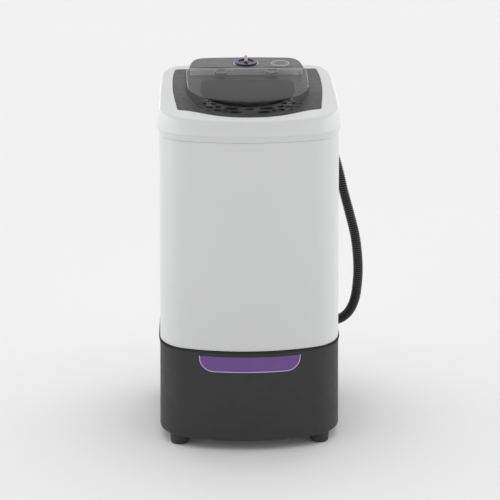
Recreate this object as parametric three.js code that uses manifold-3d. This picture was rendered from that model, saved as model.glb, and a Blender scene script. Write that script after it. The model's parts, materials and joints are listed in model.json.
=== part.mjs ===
// Laundry spin dryer: white soft-cornered cabinet on a dark base, sloping top
// with a smoked lid, timer console at the rear, perforated basket inside.
// Millimetres, +Z up, front towards -Y, origin on the floor at the centre.
import * as THREE from 'three';
import { mergeVertices } from 'three/addons/utils/BufferGeometryUtils.js';
import Module from 'manifold-3d';

const wasm = await Module();
wasm.setup();

// ---------- driving dimensions ----------
const HALF_W = 185;          // half width of the collar
const HALF_D = 182.5;        // half depth of the collar
const FRONT_SAG = 43.8;      // bow of the front face over the half width
const REAR_SAG = 19;         // bow of the rear face
const SIDE_SAG = 3.6;        // bow of each side face
const FRONT_CORNER = 78.6;   // front corner radius
const REAR_CORNER = 60;      // rear corner radius
const FOOT_H = 22;           // foot height
const BASE_Z = 22;           // lower edge of the base
const COLLAR_Z = 216;        // upper edge of the base collar
const LEDGE_Z = 202.7;       // ledge in the base that carries cabinet and platform
const BAND_Z = 641;          // joint of cabinet and top cover
const FLANGE_Z = 653;        // lower edge of the cover's flange
const TOP_Z = 703.6;         // height of the sloping top on the centre line
const SLOPE = 0.12;          // rise of the top towards the rear
const TILT = Math.atan(SLOPE);
const WALL = 3;
const TUB_R = 153;           // outer tub outside radius
const BASKET_R = 120;        // spin basket outside radius
const BASKET_TOP = 636;
const WELL_R = 95.5;         // reach of the loading opening to the front
const WELL_X = 94.5;         // its half width
const WELL_V = 4;            // its centre along the slope
const WELL_REAR = 76;        // straight rear edge of the opening
const HINGE_V = 90;          // lid hinge axis along the slope
const HINGE_W = 9;           // lid hinge axis above the deck plane
const HINGE_X = 52.5;        // centre of each hinge pocket
const LID_H = 18;            // height of the lid's flat top
const KNOB_V = 130;          // timer axis along the slope
const PANEL_W = 17.6;        // height of the console's top
const HOSE_D = 21.6;          // drain hose diameter
const MOTOR_R = 62;
const GAP = 0.3;

const COLOUR = {
  white: [0xe4e4e3, 0.42, 0], dark: [0x34343a, 0.5, 0], deck: [0x4a4a4c, 0.55, 0],
  smoke: [0x6c6c6e, 0.12, 0], purple: [0x43325c, 0.4, 0], label: [0x5d3a8c, 0.45, 0],
  lilac: [0xb59ccc, 0.4, 0], rubber: [0x1d1d1f, 0.85, 0], hose: [0x2b2b2d, 0.6, 0],
  steel: [0x9fa3a8, 0.35, 0.9], zinc: [0xb8bcc0, 0.3, 0.9], iron: [0x5b5d60, 0.6, 0.6],
  tub: [0xd5d6d4, 0.5, 0], black: [0x222224, 0.6, 0],
};

// ---------- helpers ----------
const material = (key) => {
  const [color, roughness, metalness] = COLOUR[key];
  return new THREE.MeshStandardMaterial({ color, roughness, metalness });
};

// one closed body: shared corners merged, empty faces dropped, faces outwards
function clean(geometry) {
  let g = geometry.clone();
  g.deleteAttribute('normal');
  g.deleteAttribute('uv');
  g = mergeVertices(g, 1e-4);
  const p = g.attributes.position;
  const index = [];
  let volume = 0;
  const a = new THREE.Vector3(), b = new THREE.Vector3(), c = new THREE.Vector3();
  for (let i = 0; i < g.index.count; i += 3) {
    const t = [g.index.getX(i), g.index.getX(i + 1), g.index.getX(i + 2)];
    if (t[0] === t[1] || t[1] === t[2] || t[0] === t[2]) continue;
    index.push(...t);
    a.fromBufferAttribute(p, t[0]); b.fromBufferAttribute(p, t[1]); c.fromBufferAttribute(p, t[2]);
    volume += a.dot(b.cross(c));
  }
  if (volume < 0) for (let i = 0; i < index.length; i += 3) [index[i], index[i + 1]] = [index[i + 1], index[i]];
  g.setIndex(index);
  return g;
}

function solid(geometry) {
  const g = clean(geometry);
  return new wasm.Manifold(new wasm.Mesh({
    numProp: 3,
    vertProperties: new Float32Array(g.attributes.position.array),
    triVerts: new Uint32Array(g.index.array),
  }));
}

function geometryOf(body) {
  const mesh = body.getMesh();
  const g = new THREE.BufferGeometry();
  g.setAttribute('position', new THREE.BufferAttribute(new Float32Array(mesh.vertProperties), 3));
  g.setIndex(new THREE.BufferAttribute(new Uint32Array(mesh.triVerts), 1));
  return g;
}

const cut = (from, ...tools) => geometryOf(tools.reduce((s, t) => s.subtract(solid(t)), solid(from)));
const join = (...items) => geometryOf(items.slice(1).reduce((s, t) => s.add(solid(t)), solid(items[0])));
const common = (a, b) => geometryOf(solid(a).intersect(solid(b)));

const moved = (g, x, y, z) => g.clone().translate(x, y, z);
const box = (x0, x1, y0, y1, z0, z1) =>
  new THREE.BoxGeometry(x1 - x0, y1 - y0, z1 - z0).translate((x0 + x1) / 2, (y0 + y1) / 2, (z0 + z1) / 2);
// turned piece about Z, profile of [radius, z]
const turned = (profile, n = 24) =>
  clean(new THREE.LatheGeometry(profile.map(([r, z]) => new THREE.Vector2(r, z)), n).rotateX(Math.PI / 2));
const rod = (r, z0, z1, n = 16) => turned([[0, z0], [r, z0], [r, z1], [0, z1]], n);
const pipe = (r, ri, z0, z1, n = 24) => turned([[ri, z0], [r, z0], [r, z1], [ri, z1], [ri, z0]], n);
// flat shape of [x, y] points, pushed from z0 to z1
const shapeOf = (pts) => new THREE.Shape(pts.map(([x, y]) => new THREE.Vector2(x, y)));
function plate(pts, z0, z1, holes = [], steps = 1) {
  const s = shapeOf(pts);
  for (const h of holes) s.holes.push(new THREE.Path(h.map(([x, y]) => new THREE.Vector2(x, y))));
  return new THREE.ExtrudeGeometry(s, { depth: z1 - z0, bevelEnabled: false, steps }).translate(0, 0, z0);
}
const circle = (r, x = 0, y = 0, n = 24) =>
  Array.from({ length: n }, (_, i) => [x + r * Math.cos((i * 2 * Math.PI) / n), y + r * Math.sin((i * 2 * Math.PI) / n)]);
const ellipse = (x, y, rx, ry, deg, n = 8) => {
  const c = Math.cos(deg * Math.PI / 180), s = Math.sin(deg * Math.PI / 180);
  return Array.from({ length: n }, (_, i) => {
    const t = (i * 2 * Math.PI) / n, u = rx * Math.cos(t), v = ry * Math.sin(t);
    return [x + u * c - v * s, y + u * s + v * c];
  });
};
const mirrored = (pts) => pts.map(([x, y]) => [-x, y]).reverse();
// tube along a smooth curve
function tube(points, r, ri, steps, sides = 10) {
  const s = shapeOf(circle(r, 0, 0, sides));
  if (ri) s.holes.push(new THREE.Path(circle(ri, 0, 0, sides).map(([x, y]) => new THREE.Vector2(x, y))));
  const curve = new THREE.CatmullRomCurve3(points.map((p) => new THREE.Vector3(...p)), false, 'centripetal');
  return new THREE.ExtrudeGeometry(s, { extrudePath: curve, steps, bevelEnabled: false });
}

// ---------- cabinet plan: four bowed faces and rounded corners ----------
function quarter(a, b, sagF, sagS, rc, nFront, nCorner, nSide) {
  const rf = (HALF_W * HALF_W + sagF * sagF) / (2 * sagF);
  const rs = (HALF_D * HALF_D + sagS * sagS) / (2 * sagS);
  const F = [0, b - rf], S = [a - rs, 0];
  const d = Math.hypot(S[0] - F[0], S[1] - F[1]);
  const r1 = rf - rc, r2 = rs - rc;
  const u = (d * d + r1 * r1 - r2 * r2) / (2 * d), h = Math.sqrt(r1 * r1 - u * u);
  const ex = [(S[0] - F[0]) / d, (S[1] - F[1]) / d];
  let K = [F[0] + u * ex[0] - h * ex[1], F[1] + u * ex[1] + h * ex[0]];
  if (K[0] < 0 || K[1] < 0) K = [F[0] + u * ex[0] + h * ex[1], F[1] + u * ex[1] - h * ex[0]];
  const angF = Math.atan2(K[1] - F[1], K[0] - F[0]);
  const angS = Math.atan2(K[1] - S[1], K[0] - S[0]);
  const out = [];
  const arc = (c, r, from, to, n) => {
    for (let i = 0; i < n; i++) {
      const t = from + ((to - from) * i) / n;
      out.push([c[0] + r * Math.cos(t), c[1] + r * Math.sin(t), Math.cos(t), Math.sin(t)]);
    }
  };
  arc(S, rs, 0, angS, nSide);
  arc(K, rc, angS, angF, nCorner);
  arc(F, rf, angF, Math.PI / 2, nFront);
  out.push([0, b, 0, 1]);
  return out;                         // from (a,0) to (0,b), point and outward normal
}
const rearQ = quarter(HALF_W, HALF_D, REAR_SAG, SIDE_SAG, REAR_CORNER, 3, 5, 1);
const frontQ = quarter(HALF_W, HALF_D, FRONT_SAG, SIDE_SAG, FRONT_CORNER, 3, 6, 1);
const PLAN = [];
PLAN.push(...rearQ.slice(0, -1));
PLAN.push(...rearQ.map(([x, y, nx, ny]) => [-x, y, -nx, ny]).reverse().slice(0, -1));
PLAN.push(...frontQ.map(([x, y, nx, ny]) => [-x, -y, -nx, -ny]).slice(0, -1));
PLAN.push(...frontQ.map(([x, y, nx, ny]) => [x, -y, nx, -ny]).reverse().slice(0, -1));
const N_PLAN = PLAN.length;
const planPoint = (i, inset) => {
  const [x, y, nx, ny] = PLAN[i % N_PLAN];
  if (inset > -50) return [x + nx * inset, y + ny * inset];
  const k = Math.max(0, (HALF_W + inset) / (HALF_W - 50));
  return [(x - nx * 50) * k, (y - ny * 50) * k];
};
// A turned profile whose rings are laid on the cabinet plan. Each entry is
// [offset from the plan, z, share of the top's slope, extra offset at the rear].
const rearShare = (i) => {
  const t = Math.max(0, Math.min(1, (PLAN[i % N_PLAN][3] - 0.5) / 0.4));
  return t * t * (3 - 2 * t);
};
function shell(profile) {
  const g = new THREE.LatheGeometry(profile.map(([d, z]) => new THREE.Vector2(HALF_W + d, z)), N_PLAN);
  const p = g.attributes.position;
  for (let i = 0; i <= N_PLAN; i++) {
    for (let j = 0; j < profile.length; j++) {
      const [d, z, s = 0, e = 0] = profile[j];
      const [x, y] = planPoint(i, d + e * rearShare(i));
      p.setXYZ(i * profile.length + j, x, y, z + s * SLOPE * y);
    }
  }
  return clean(g);
}
const AXIS = -HALF_W;

// widths by height
const baseOff = (z) => (z < 200 ? 1.6 - (z - BASE_Z) * (3.2 / 178) : -1.6 + ((z - 200) / 17) ** 1.5 * 2.4);
const bodyOff = (z) => -2 - (z - 217) * (6.3 / 424);

// ---------- base ----------
const baseOuter = shell([
  [AXIS, BASE_Z], [baseOff(BASE_Z) - 2, BASE_Z], [baseOff(BASE_Z), BASE_Z + 2.5],
  [baseOff(200), 200], [baseOff(209), 209], [0.55, 215], [0, COLLAR_Z], [AXIS, COLLAR_Z]]);
const baseInner = shell([
  [AXIS, BASE_Z + 4], [baseOff(BASE_Z) - 3.4, BASE_Z + 4], [-4.8, 195], [-20, 199], [-20, LEDGE_Z], [-4, LEDGE_Z], [-4, COLLAR_Z + 1], [AXIS, COLLAR_Z + 1]]);
const DRAIN_X = 100, DRAIN_Z = 138, REAR_Y100 = 175.5;
const GLAND_X = -110, GLAND_Z = 60;
const FEET = [[-144.6, -131.8], [143.4, -131.8], [-140, 136], [140, 136]];
const drainHole = new THREE.CylinderGeometry(12, 12, 40, 20).translate(DRAIN_X, 175, DRAIN_Z);
const glandHole = new THREE.CylinderGeometry(7.2, 7.2, 40, 12).rotateZ(0.121).translate(GLAND_X, 175, GLAND_Z);
const footHoles = FEET.map(([x, y]) => rod(3.4, BASE_Z - 2, BASE_Z + 6, 10).translate(x, y, 0));
const floorVents = [-60, -30, 0, 30, 60].map((x) => box(x - 4, x + 4, -50, 50, BASE_Z - 2, BASE_Z + 6));
const baseHousing = cut(baseOuter, baseInner, drainHole, glandHole, ...footHoles, ...floorVents);

// ---------- cabinet ----------
const cabinet = shell([
  [-4.3, LEDGE_Z + GAP], [-4.3, COLLAR_Z + GAP], [-2.0, COLLAR_Z + GAP], [bodyOff(BAND_Z - GAP), BAND_Z - GAP],
  [-10.8, BAND_Z - GAP], [-7, 240], [-7, LEDGE_Z + GAP], [-4.3, LEDGE_Z + GAP]]);

// ---------- top cover ----------
const T = new THREE.Matrix4().makeRotationX(TILT).premultiply(new THREE.Matrix4().makeTranslation(0, 0, TOP_Z));
const tilted = (g) => g.clone().applyMatrix4(T);
const halfDeck = [
  [0, -151.2], [20, -150.1], [40, -147], [63.5, -139.8], [86.5, -128], [104, -118], [118, -111.2], [128, -107.8], [134, -106.4],
  [137.4, -104.2], [139.3, -99], [142, -72], [145.2, -42], [148, -10], [150.2, 25], [151, 60], [150.6, 95], [148.6, 125], [147, 139], [145.2, 143.6], [140, 145.4], [0, 146.5]];
const deckOutline = [...halfDeck, ...mirrored(halfDeck.slice(1, -1))];
function toSegment(p, a, b) {
  const dx = b[0] - a[0], dy = b[1] - a[1];
  const t = Math.max(0, Math.min(1, ((p[0] - a[0]) * dx + (p[1] - a[1]) * dy) / (dx * dx + dy * dy)));
  return Math.hypot(p[0] - a[0] - t * dx, p[1] - a[1] - t * dy);
}
function grown(pts, d, keep = false) {    // outline pushed outwards by d
  const n = pts.length;
  const out = pts.map((p, i) => {
    const a = pts[(i + n - 1) % n], b = pts[(i + 1) % n];
    const la = Math.hypot(p[0] - a[0], p[1] - a[1]), lb = Math.hypot(b[0] - p[0], b[1] - p[1]);
    const n1 = [(p[1] - a[1]) / la, (a[0] - p[0]) / la], n2 = [(b[1] - p[1]) / lb, (p[0] - b[0]) / lb];
    const m = [n1[0] + n2[0], n1[1] + n2[1]], k = 2 / Math.max(1.2, m[0] * m[0] + m[1] * m[1]);
    return [p[0] + m[0] * k * d, p[1] + m[1] * k * d];
  });
  if (keep) return out;
  return out.filter((p) => pts.every((a, i) => toSegment(p, a, pts[(i + 1) % n]) > Math.abs(d) * 0.97));
}
const coverBody = shell([
  [-8, BAND_Z + GAP], [-8, FLANGE_Z - 1], [-4.5, FLANGE_Z], [-4.3, FLANGE_Z + 1.5], [-4.9, FLANGE_Z + 5],
  [-8, TOP_Z - 7.5, 1, 5], [-9.2, TOP_Z - 3.2, 1, 5.8], [-11.6, TOP_Z - 0.9, 1, 7.2], [-15, TOP_Z, 1, 8.6], [AXIS, TOP_Z, 1],
  [AXIS, TOP_Z - 6.4, 1], [-17, TOP_Z - 6.4, 1, 6], [-11.4, TOP_Z - 12, 1, 5], [-8.2, FLANGE_Z + 5], [-13.4, 650], [-13.4, 630],
  [-11.2, 630], [-11.2, BAND_Z + GAP], [-8, BAND_Z + GAP]]);
const topCover = cut(coverBody,
  tilted(plate(grown(deckOutline, 0.5), -3.7, 3)),
  tilted(plate(grown(deckOutline, -7), -12, 3)));

// ---------- deck ----------
function wellOutline(extra) {               // bowed front, straight sides, rounded rear corners
  const a = WELL_X + extra, b = WELL_R + extra, rear = WELL_REAR + extra, rc = 17 + extra, half = [];
  for (let i = 0; i <= 11; i++) {
    const t = (i / 11) * (Math.PI / 2), e = 2 / 1.85;
    half.push([a * Math.sin(t) ** e, WELL_V - b * Math.cos(t) ** e]);
  }
  for (let i = 0; i <= 4; i++) {
    const t = (i / 4) * (Math.PI / 2);
    half.push([a - rc + rc * Math.cos(t), rear - rc + rc * Math.sin(t)]);
  }
  return [...half, ...mirrored(half.slice(1))];
}
const VENTS = [[80, -56, 5, 3, 45], [70, -70, 6.4, 3.6, 42], [86, -69, 6, 3.6, 42], [77, -88, 7.4, 4.6, 37], [61.5, -87, 7, 4.6, 34], [62, -106, 8, 4.6, 27],
  [47, -110.5, 5, 3, 20], [34, -98, 14, 5, 5], [28, -118.6, 12, 4.4, 9]];
const ventCuts = [];
for (const [x, y, a, b, d] of VENTS) {
  ventCuts.push(plate(ellipse(x, y, a, b, d), -8, 3), plate(ellipse(-x, y, a, b, -d), -8, 3));
}
ventCuts.push(plate(ellipse(0, -101, 9.5, 3.2, 0), -8, 3));
const DECK_LOW = -3.3, DECK_TOP = -0.8;
const pocket = (s) => box(s * HINGE_X - 13.5, s * HINGE_X + 13.5, WELL_REAR - 5, 100, -50, 3);
const deckCuts = [...ventCuts, pocket(1), pocket(-1),
  rod(5, -8, 3, 14).translate(0, KNOB_V, 0),
  rod(3, -8, 3, 12).translate(108, 70, 0)];
const deck = cut(join(
  plate(deckOutline, DECK_LOW, DECK_TOP, [wellOutline(0)]),
  plate(wellOutline(2.5), -45, DECK_LOW + 0.5, [wellOutline(0)])), ...deckCuts);

// ---------- lid ----------
const LID_REAR = 95.4;
function lidOutline(a, b, centre, power, rear = a) {
  const half = [];
  for (let i = 0; i <= 11; i++) {
    const t = (i / 11) * (Math.PI / 2);
    half.push([a * Math.sin(t) ** (2 / power), centre - b * Math.cos(t) ** (2 / power)]);
  }
  half.push([(a + rear) / 2, (centre + LID_REAR) / 2], [rear, LID_REAR - 4], [rear - 4, LID_REAR], [0, LID_REAR]);
  return [...half, ...mirrored(half.slice(1, -1))];
}
const lidLow = lidOutline(126.5, 165, 26, 1.9);
const lidHigh = lidOutline(119.4, 100, -17, 2, 122.8);
function dome(low, high, w0, w1, stations) {    // stations of [height share, inward share]
  const steps = stations.length - 1;
  const g = plate(low, 0, steps, [], steps);
  const p = g.attributes.position;
  for (let i = 0; i < p.count; i++) {
    const k = Math.round(p.getZ(i));
    let best = 0, dist = 1e9;
    for (let j = 0; j < low.length; j++) {
      const dd = (low[j][0] - p.getX(i)) ** 2 + (low[j][1] - p.getY(i)) ** 2;
      if (dd < dist) { dist = dd; best = j; }
    }
    const [h, s] = stations[k];
    p.setXYZ(i, low[best][0] * (1 - s) + high[best][0] * s, low[best][1] * (1 - s) + high[best][1] * s, w0 + (w1 - w0) * h);
  }
  return g;
}
const lidShape = [[0, 0], [0.8, 0.66], [0.95, 0.9], [1, 1.05]];
const lidOuter = dome(lidLow, lidHigh, 0.2, LID_H, lidShape);
const lidInner = dome(grown(lidLow, -2.8, true), grown(lidHigh, -2.4, true), -1.5, LID_H - 2.8, lidShape);
const ear = (s) => {
  const x = s * HINGE_X;
  const block = new THREE.ExtrudeGeometry(shapeOf([[77, 16.5], [95, 16.5], [95, 12], [94.8, 7.5], [93.2, 5], [90, 4.2], [86.6, 5], [81, 10], [77, 14]]),
    { depth: 18, bevelEnabled: false });
  block.applyMatrix4(new THREE.Matrix4().makeBasis(new THREE.Vector3(0, 1, 0), new THREE.Vector3(0, 0, 1), new THREE.Vector3(1, 0, 0)));
  block.translate(x - 9, 0, 0);
  const bore = new THREE.CylinderGeometry(3.3, 3.3, 30, 14).rotateZ(Math.PI / 2).translate(x, HINGE_V, HINGE_W);
  return [block, bore];
};
const [earR, boreR] = ear(1), [earL, boreL] = ear(-1);
const lidPost = box(105, 111, 66, 74, 5.2, 16.5);
const notch = (s) => box(s * HINGE_X - 14, s * HINGE_X + 14, 84, 110, -2, 14.4);
const lidShell = cut(lidOuter, lidInner, box(-140, 140, 85, 110, -2, 3.4), notch(1), notch(-1));
const lid = cut(join(lidShell, earR, earL, lidPost), boreR, boreL);

// hinge bracket: two cheeks standing in the pocket on a foot under the deck
const bracket = (s) => {
  const x = s * HINGE_X;
  const u = plate([[-13, -12], [13, -12], [13, 12.4], [10, 12.4], [10, -9], [-10, -9], [-10, 12.4], [-13, 12.4]], 0, 8);
  u.applyMatrix4(new THREE.Matrix4().makeBasis(new THREE.Vector3(1, 0, 0), new THREE.Vector3(0, 0, 1), new THREE.Vector3(0, -1, 0)));
  u.translate(x, 94, 0);
  const tabs = box(x - 24, x + 24, 86, 94, -8.6, -6.6);
  const pinHole = new THREE.CylinderGeometry(3.3, 3.3, 40, 14).rotateZ(Math.PI / 2).translate(x, HINGE_V, HINGE_W);
  return cut(join(u, cut(tabs, box(x - 10, x + 10, 80, 100, -9, 0))), pinHole);
};
const pin = (s) => new THREE.CylinderGeometry(3, 3, 25.6, 14).rotateZ(Math.PI / 2).translate(s * HINGE_X, HINGE_V, HINGE_W);

// ---------- control console ----------
const halfPanel = [[0, 101.2], [118, 101.2], [116.7, 118], [114.4, 134], [110.2, 148.6], [104, 159.2], [95, 165.6], [84, 168.2], [0, 171.6]];
const panelOutline = [...halfPanel, ...mirrored(halfPanel.slice(1, -1))];
const panel = cut(join(plate(panelOutline, GAP, PANEL_W - 1.6), dome(panelOutline, grown(panelOutline, -1.6, true), PANEL_W - 1.8, PANEL_W, [[0, 0], [0.4, 0.15], [0.8, 0.6], [1, 1.3]])),
  plate(grown(panelOutline, -2.8), -2, PANEL_W - 3),
  rod(5, 10, 22, 16).translate(0, KNOB_V, 0));

// ---------- timer ----------
const knobDisc = turned([[0, 18.1], [21.4, 18.1], [22.6, 18.7], [22.9, 19.8], [22.7, 21.2], [21.9, 21.8], [16.4, 21.8], [15.9, 21.3], [15.6, 19.7], [0, 19.5]], 28);
const knobRidge = plate([[-3.3, -16.6], [-2.3, -17.9], [2.3, -17.9], [3.3, -16.6], [3, 19.2], [2, 20.3], [-2, 20.3], [-3, 19.2]], 18.8, 28);
const knobTip = plate([[-4, -19.4], [-0.8, -24.2], [0.8, -24.2], [4, -19.4]], 18.4, 21);
const knob = cut(join(knobDisc, knobRidge, knobTip), rod(2.5, 10, 25.4, 14)).translate(0, KNOB_V, 0);
const timerShaft = turned([[0, -6.6], [3, -6.6], [3, 13], [2.2, 14], [2.2, 25], [0, 25]], 14).translate(0, KNOB_V, 0);
const timerBody = cut(box(-24, 24, KNOB_V - 22, KNOB_V + 18, -38, -7.2), rod(3.4, -30, 0, 12).translate(0, KNOB_V, 0));

// ---------- lid switch ----------
const SW = [108, 70];
const switchBody = cut(box(SW[0] - 10, SW[0] + 10, SW[1] - 6, SW[1] + 6, -22, -3.7), rod(2.5, -18, 0, 12).translate(...SW, 0));
const switchPlunger = rod(2.1, -14, 0.8, 12).translate(...SW, 0);

// ---------- tub, platform, drain ----------
const platform = cut(shell([[AXIS, 203], [-8, 203], [-8, 206.6], [AXIS, 206.6]]),
  rod(46, 195, 215, 20), rod(12, 195, 215, 10).translate(DRAIN_X, 80, 0),
  ...[90, 210, 330].map((a) => rod(3.4, 195, 215, 10).translate(78 * Math.cos(a * Math.PI / 180), 78 * Math.sin(a * Math.PI / 180), 0)),
  box(-131, -119, 119, 131, 195, 215));
const tub = cut(turned([[34, 207], [TUB_R - 6, 207], [TUB_R, 213], [TUB_R, 648], [TUB_R + 6, 648], [TUB_R + 6, 651], [TUB_R - 3, 651], [TUB_R - 3, 216],
  [TUB_R - 9, 210.5], [46, 210.5], [46, 226], [34, 226], [34, 207]], 28),
  rod(9.3, 200, 214, 14).translate(DRAIN_X, 80, 0));
const tubRing = turned([[116, 651.4], [TUB_R + 6, 651.4], [TUB_R + 6, 654], [116, 654], [116, 651.4]], 28);
const drainPipe = tube([[DRAIN_X, 80, 206.4], [DRAIN_X, 80, 170], [DRAIN_X, 84, 150], [DRAIN_X, 96, 140], [DRAIN_X, 112, DRAIN_Z], [DRAIN_X, 140, DRAIN_Z], [DRAIN_X, 168, DRAIN_Z]], 8.8, 6.6, 9, 8);

// outside elbow: flange on the rear wall, then a turn to the right
const EXIT = [132, 193, DRAIN_Z];
const elbowTube = tube([[DRAIN_X, 169, DRAIN_Z], [DRAIN_X, 180, DRAIN_Z], [DRAIN_X + 3, 188.5, DRAIN_Z], [DRAIN_X + 11, 192.6, DRAIN_Z], [DRAIN_X + 20, 193, DRAIN_Z], [EXIT[0] - GAP, EXIT[1], EXIT[2]]], 9.4, 6.6, 8, 10);
const elbowFlange = new THREE.CylinderGeometry(17, 17, 2.4, 16).rotateZ(-0.11).translate(DRAIN_X, 178.1, DRAIN_Z);
const drainElbow = cut(join(elbowTube, elbowFlange), new THREE.CylinderGeometry(6.6, 6.6, 16, 10).translate(DRAIN_X, 174, DRAIN_Z));

// ---------- drain hose, bowed out on the right ----------
const HOSE = [EXIT, [141, 193, 137.8], [153, 192.9, 137], [173.8, 191.4, 135.8], [192.2, 187.6, 137.3], [208.1, 182.5, 143.2], [222, 176.8, 153.9], [233, 170.7, 170.1], [241.9, 161.6, 198.4], [245.8, 153.4, 235.3],
  [246.4, 149.7, 281.2], [239.4, 150.8, 345.1], [225.1, 155.7, 402.7], [212.5, 162.9, 448.5], [202.4, 172.2, 490.9], [190.5, 182.8, 528.3], [172.2, 190.1, 559.1], [150.5, 191.8, 590.9], [137.4, 189.6, 617], [130, 189, 640]];
const hose = tube(HOSE, HOSE_D / 2, 0, 56, 8);
const NOZZLE_Z = 640;
const nozzle = turned([[0, NOZZLE_Z + GAP], [9, NOZZLE_Z + GAP], [11.4, NOZZLE_Z + 3], [11.4, NOZZLE_Z + 10], [8, NOZZLE_Z + 14], [7.4, NOZZLE_Z + 34], [5.2, NOZZLE_Z + 34], [5.2, NOZZLE_Z + 8], [0, NOZZLE_Z + 8]], 12)
  .translate(0, 0, -NOZZLE_Z).rotateX(0.02).rotateY(-0.294).translate(130, 189, NOZZLE_Z);
// holder: foot on the cabinet's rear corner, arm, and a C-shaped grip round the hose
const HOLD = new THREE.Vector3(143.4, 190.84, 604);        // hose centre at the grip
const HOLD_ALONG = new THREE.Vector3(-0.448, -0.091, 0.89).normalize();   // hose direction there
const HOLD_OUT = new THREE.Vector3(0.2483, 0.9687, 0);     // outward normal of the cabinet there
const HOLD_REACH = 27.3;                                   // cabinet face to hose centre
const grip = [];
for (let i = 0; i <= 20; i++) { const t = (150 + i * 12) * Math.PI / 180; grip.push([14 * Math.cos(t), 14 * Math.sin(t)]); }
for (let i = 20; i >= 0; i--) { const t = (150 + i * 12) * Math.PI / 180; grip.push([11.4 * Math.cos(t), 11.4 * Math.sin(t)]); }
const gripY = HOLD_OUT.clone().addScaledVector(HOLD_ALONG, -HOLD_OUT.dot(HOLD_ALONG)).normalize();
const gripFrame = new THREE.Matrix4().makeBasis(new THREE.Vector3().crossVectors(gripY, HOLD_ALONG), gripY, HOLD_ALONG).setPosition(HOLD);
const armFrame = new THREE.Matrix4().makeBasis(new THREE.Vector3(HOLD_OUT.y, -HOLD_OUT.x, 0), HOLD_OUT, new THREE.Vector3(0, 0, 1)).setPosition(HOLD);
const holder = join(plate(grip, -8, 8).applyMatrix4(gripFrame),
  box(-6, 6, -HOLD_REACH + 1.5, -12.4, -6, 6).applyMatrix4(armFrame),
  box(-13, 13, -HOLD_REACH, -HOLD_REACH + 2.2, -15, 15).applyMatrix4(armFrame));

// ---------- basket and drive ----------
const basketHoles = [];
for (let row = 0; row < 5; row++) {
  for (let k = 0; k < 4; k++) {
    const h = new THREE.CylinderGeometry(5, 5, 260, 6);
    h.rotateZ((k * Math.PI) / 4 + (row % 2) * (Math.PI / 8) + 0.02);
    h.translate(0, 0, 320 + row * 66);
    basketHoles.push(h);
  }
}
const basketWall = turned([[16, 262], [52, 262], [84, 240], [BASKET_R - 8, 240], [BASKET_R, 248], [BASKET_R, BASKET_TOP - 8], [BASKET_R - 4, BASKET_TOP], [BASKET_R - 18, BASKET_TOP + 1], [BASKET_R - 18, BASKET_TOP - 2],
  [BASKET_R - 6, BASKET_TOP - 4], [BASKET_R - 2.4, BASKET_TOP - 10], [BASKET_R - 2.4, 249], [BASKET_R - 9, 242.6], [85, 242.6], [53, 264.6], [16, 264.6], [16, 262]], 28);
const basket = cut(basketWall, ...basketHoles);
const hub = turned([[8.4, 244], [24, 244], [30, 252], [30, 261.6], [8.4, 261.6], [8.4, 244]], 18);
const hubNut = cut(plate(circle(13, 0, 0, 6), 265, 275), rod(8.4, 260, 280, 18));
const shaft = turned([[0, 96], [8, 96], [8, 284], [6.5, 286], [0, 286]], 18);
const sealRing = turned([[10, 227], [33, 227], [33, 231], [20, 236], [14, 242], [10, 242], [10, 227]], 20);
const bearingHousing = turned([[15.6, 190], [26, 190], [30, 206], [30, 226], [15.6, 226], [15.6, 190]], 18);
const bearingUp = turned([[8.4, 212], [15.2, 212], [15.2, 224], [8.4, 224], [8.4, 212]], 16);
const bearingLow = turned([[8.4, 192], [15.2, 192], [15.2, 203], [8.4, 203], [8.4, 192]], 16);
const drum = turned([[8.4, 160], [44, 160], [44, 184], [41, 184], [41, 164], [8.4, 164], [8.4, 160]], 24);
const bracketPlate = cut(plate(circle(96, 0, 0, 28), 150, 154), rod(30, 140, 160, 16),
  ...[90, 210, 330].map((a) => rod(3.4, 140, 160, 10).translate(78 * Math.cos(a * Math.PI / 180), 78 * Math.sin(a * Math.PI / 180), 0)));
const motor = turned([[9.4, 149.6], [26, 149.6], [26, 144], [MOTOR_R - 6, 144], [MOTOR_R, 138], [MOTOR_R, 74], [MOTOR_R - 8, 68], [0, 68], [0, 90], [MOTOR_R - 5, 90], [MOTOR_R - 5, 136], [9.4, 136], [9.4, 149.6]], 22);
const rotor = turned([[8.4, 98], [40, 98], [40, 130], [8.4, 130], [8.4, 98]], 18);
const mountPost = (a) => turned([[3.6, 154.3], [15, 154.3], [11, 166], [11, 190], [15, 202.6], [3.6, 202.6], [3.6, 154.3]], 12)
  .translate(78 * Math.cos(a * Math.PI / 180), 78 * Math.sin(a * Math.PI / 180), 0);
const mountBolt = (a) => turned([[0, 141.4], [6, 141.4], [6, 149.4], [3, 149.7], [3, 206.4], [0, 206.4]], 12)
  .translate(78 * Math.cos(a * Math.PI / 180), 78 * Math.sin(a * Math.PI / 180), 0);

// ---------- brake: bell crank with a pad that grips the drum when the lid opens ----------
const DIAG = Math.SQRT1_2;
const crankPlane = new THREE.Matrix4().makeBasis(new THREE.Vector3(-DIAG, DIAG, 0), new THREE.Vector3(0, 0, 1), new THREE.Vector3(DIAG, DIAG, 0));
const inCrank = (g) => g.applyMatrix4(crankPlane);    // local x outwards, local y up, local z across
const PIVOT = [62, 162];
const crankPin = (r, half) => inCrank(rod(r, -half, half, 14).translate(...PIVOT, 0));
const brakePin = crankPin(2.5, 10);
const brakeBracket = cut(
  join(inCrank(box(52, 74, 154.3, 156.6, -9, 9)), inCrank(box(56, 68, 155, 167, -9, -5)), inCrank(box(56, 68, 155, 167, 5, 9))),
  crankPin(2.85, 20));
const lever = cut(
  inCrank(plate([[55, 157.6], [172.6, 157.6], [172.6, 163], [80, 166], [68, 171], [60, 186], [52, 186], [52, 166]], -3, 3)),
  crankPin(2.85, 20));
const padShape = [];
for (let i = 0; i <= 5; i++) { const t = (119 + i * 6.4) * Math.PI / 180; padShape.push([46.4 * Math.cos(t), 46.4 * Math.sin(t)]); }
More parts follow.
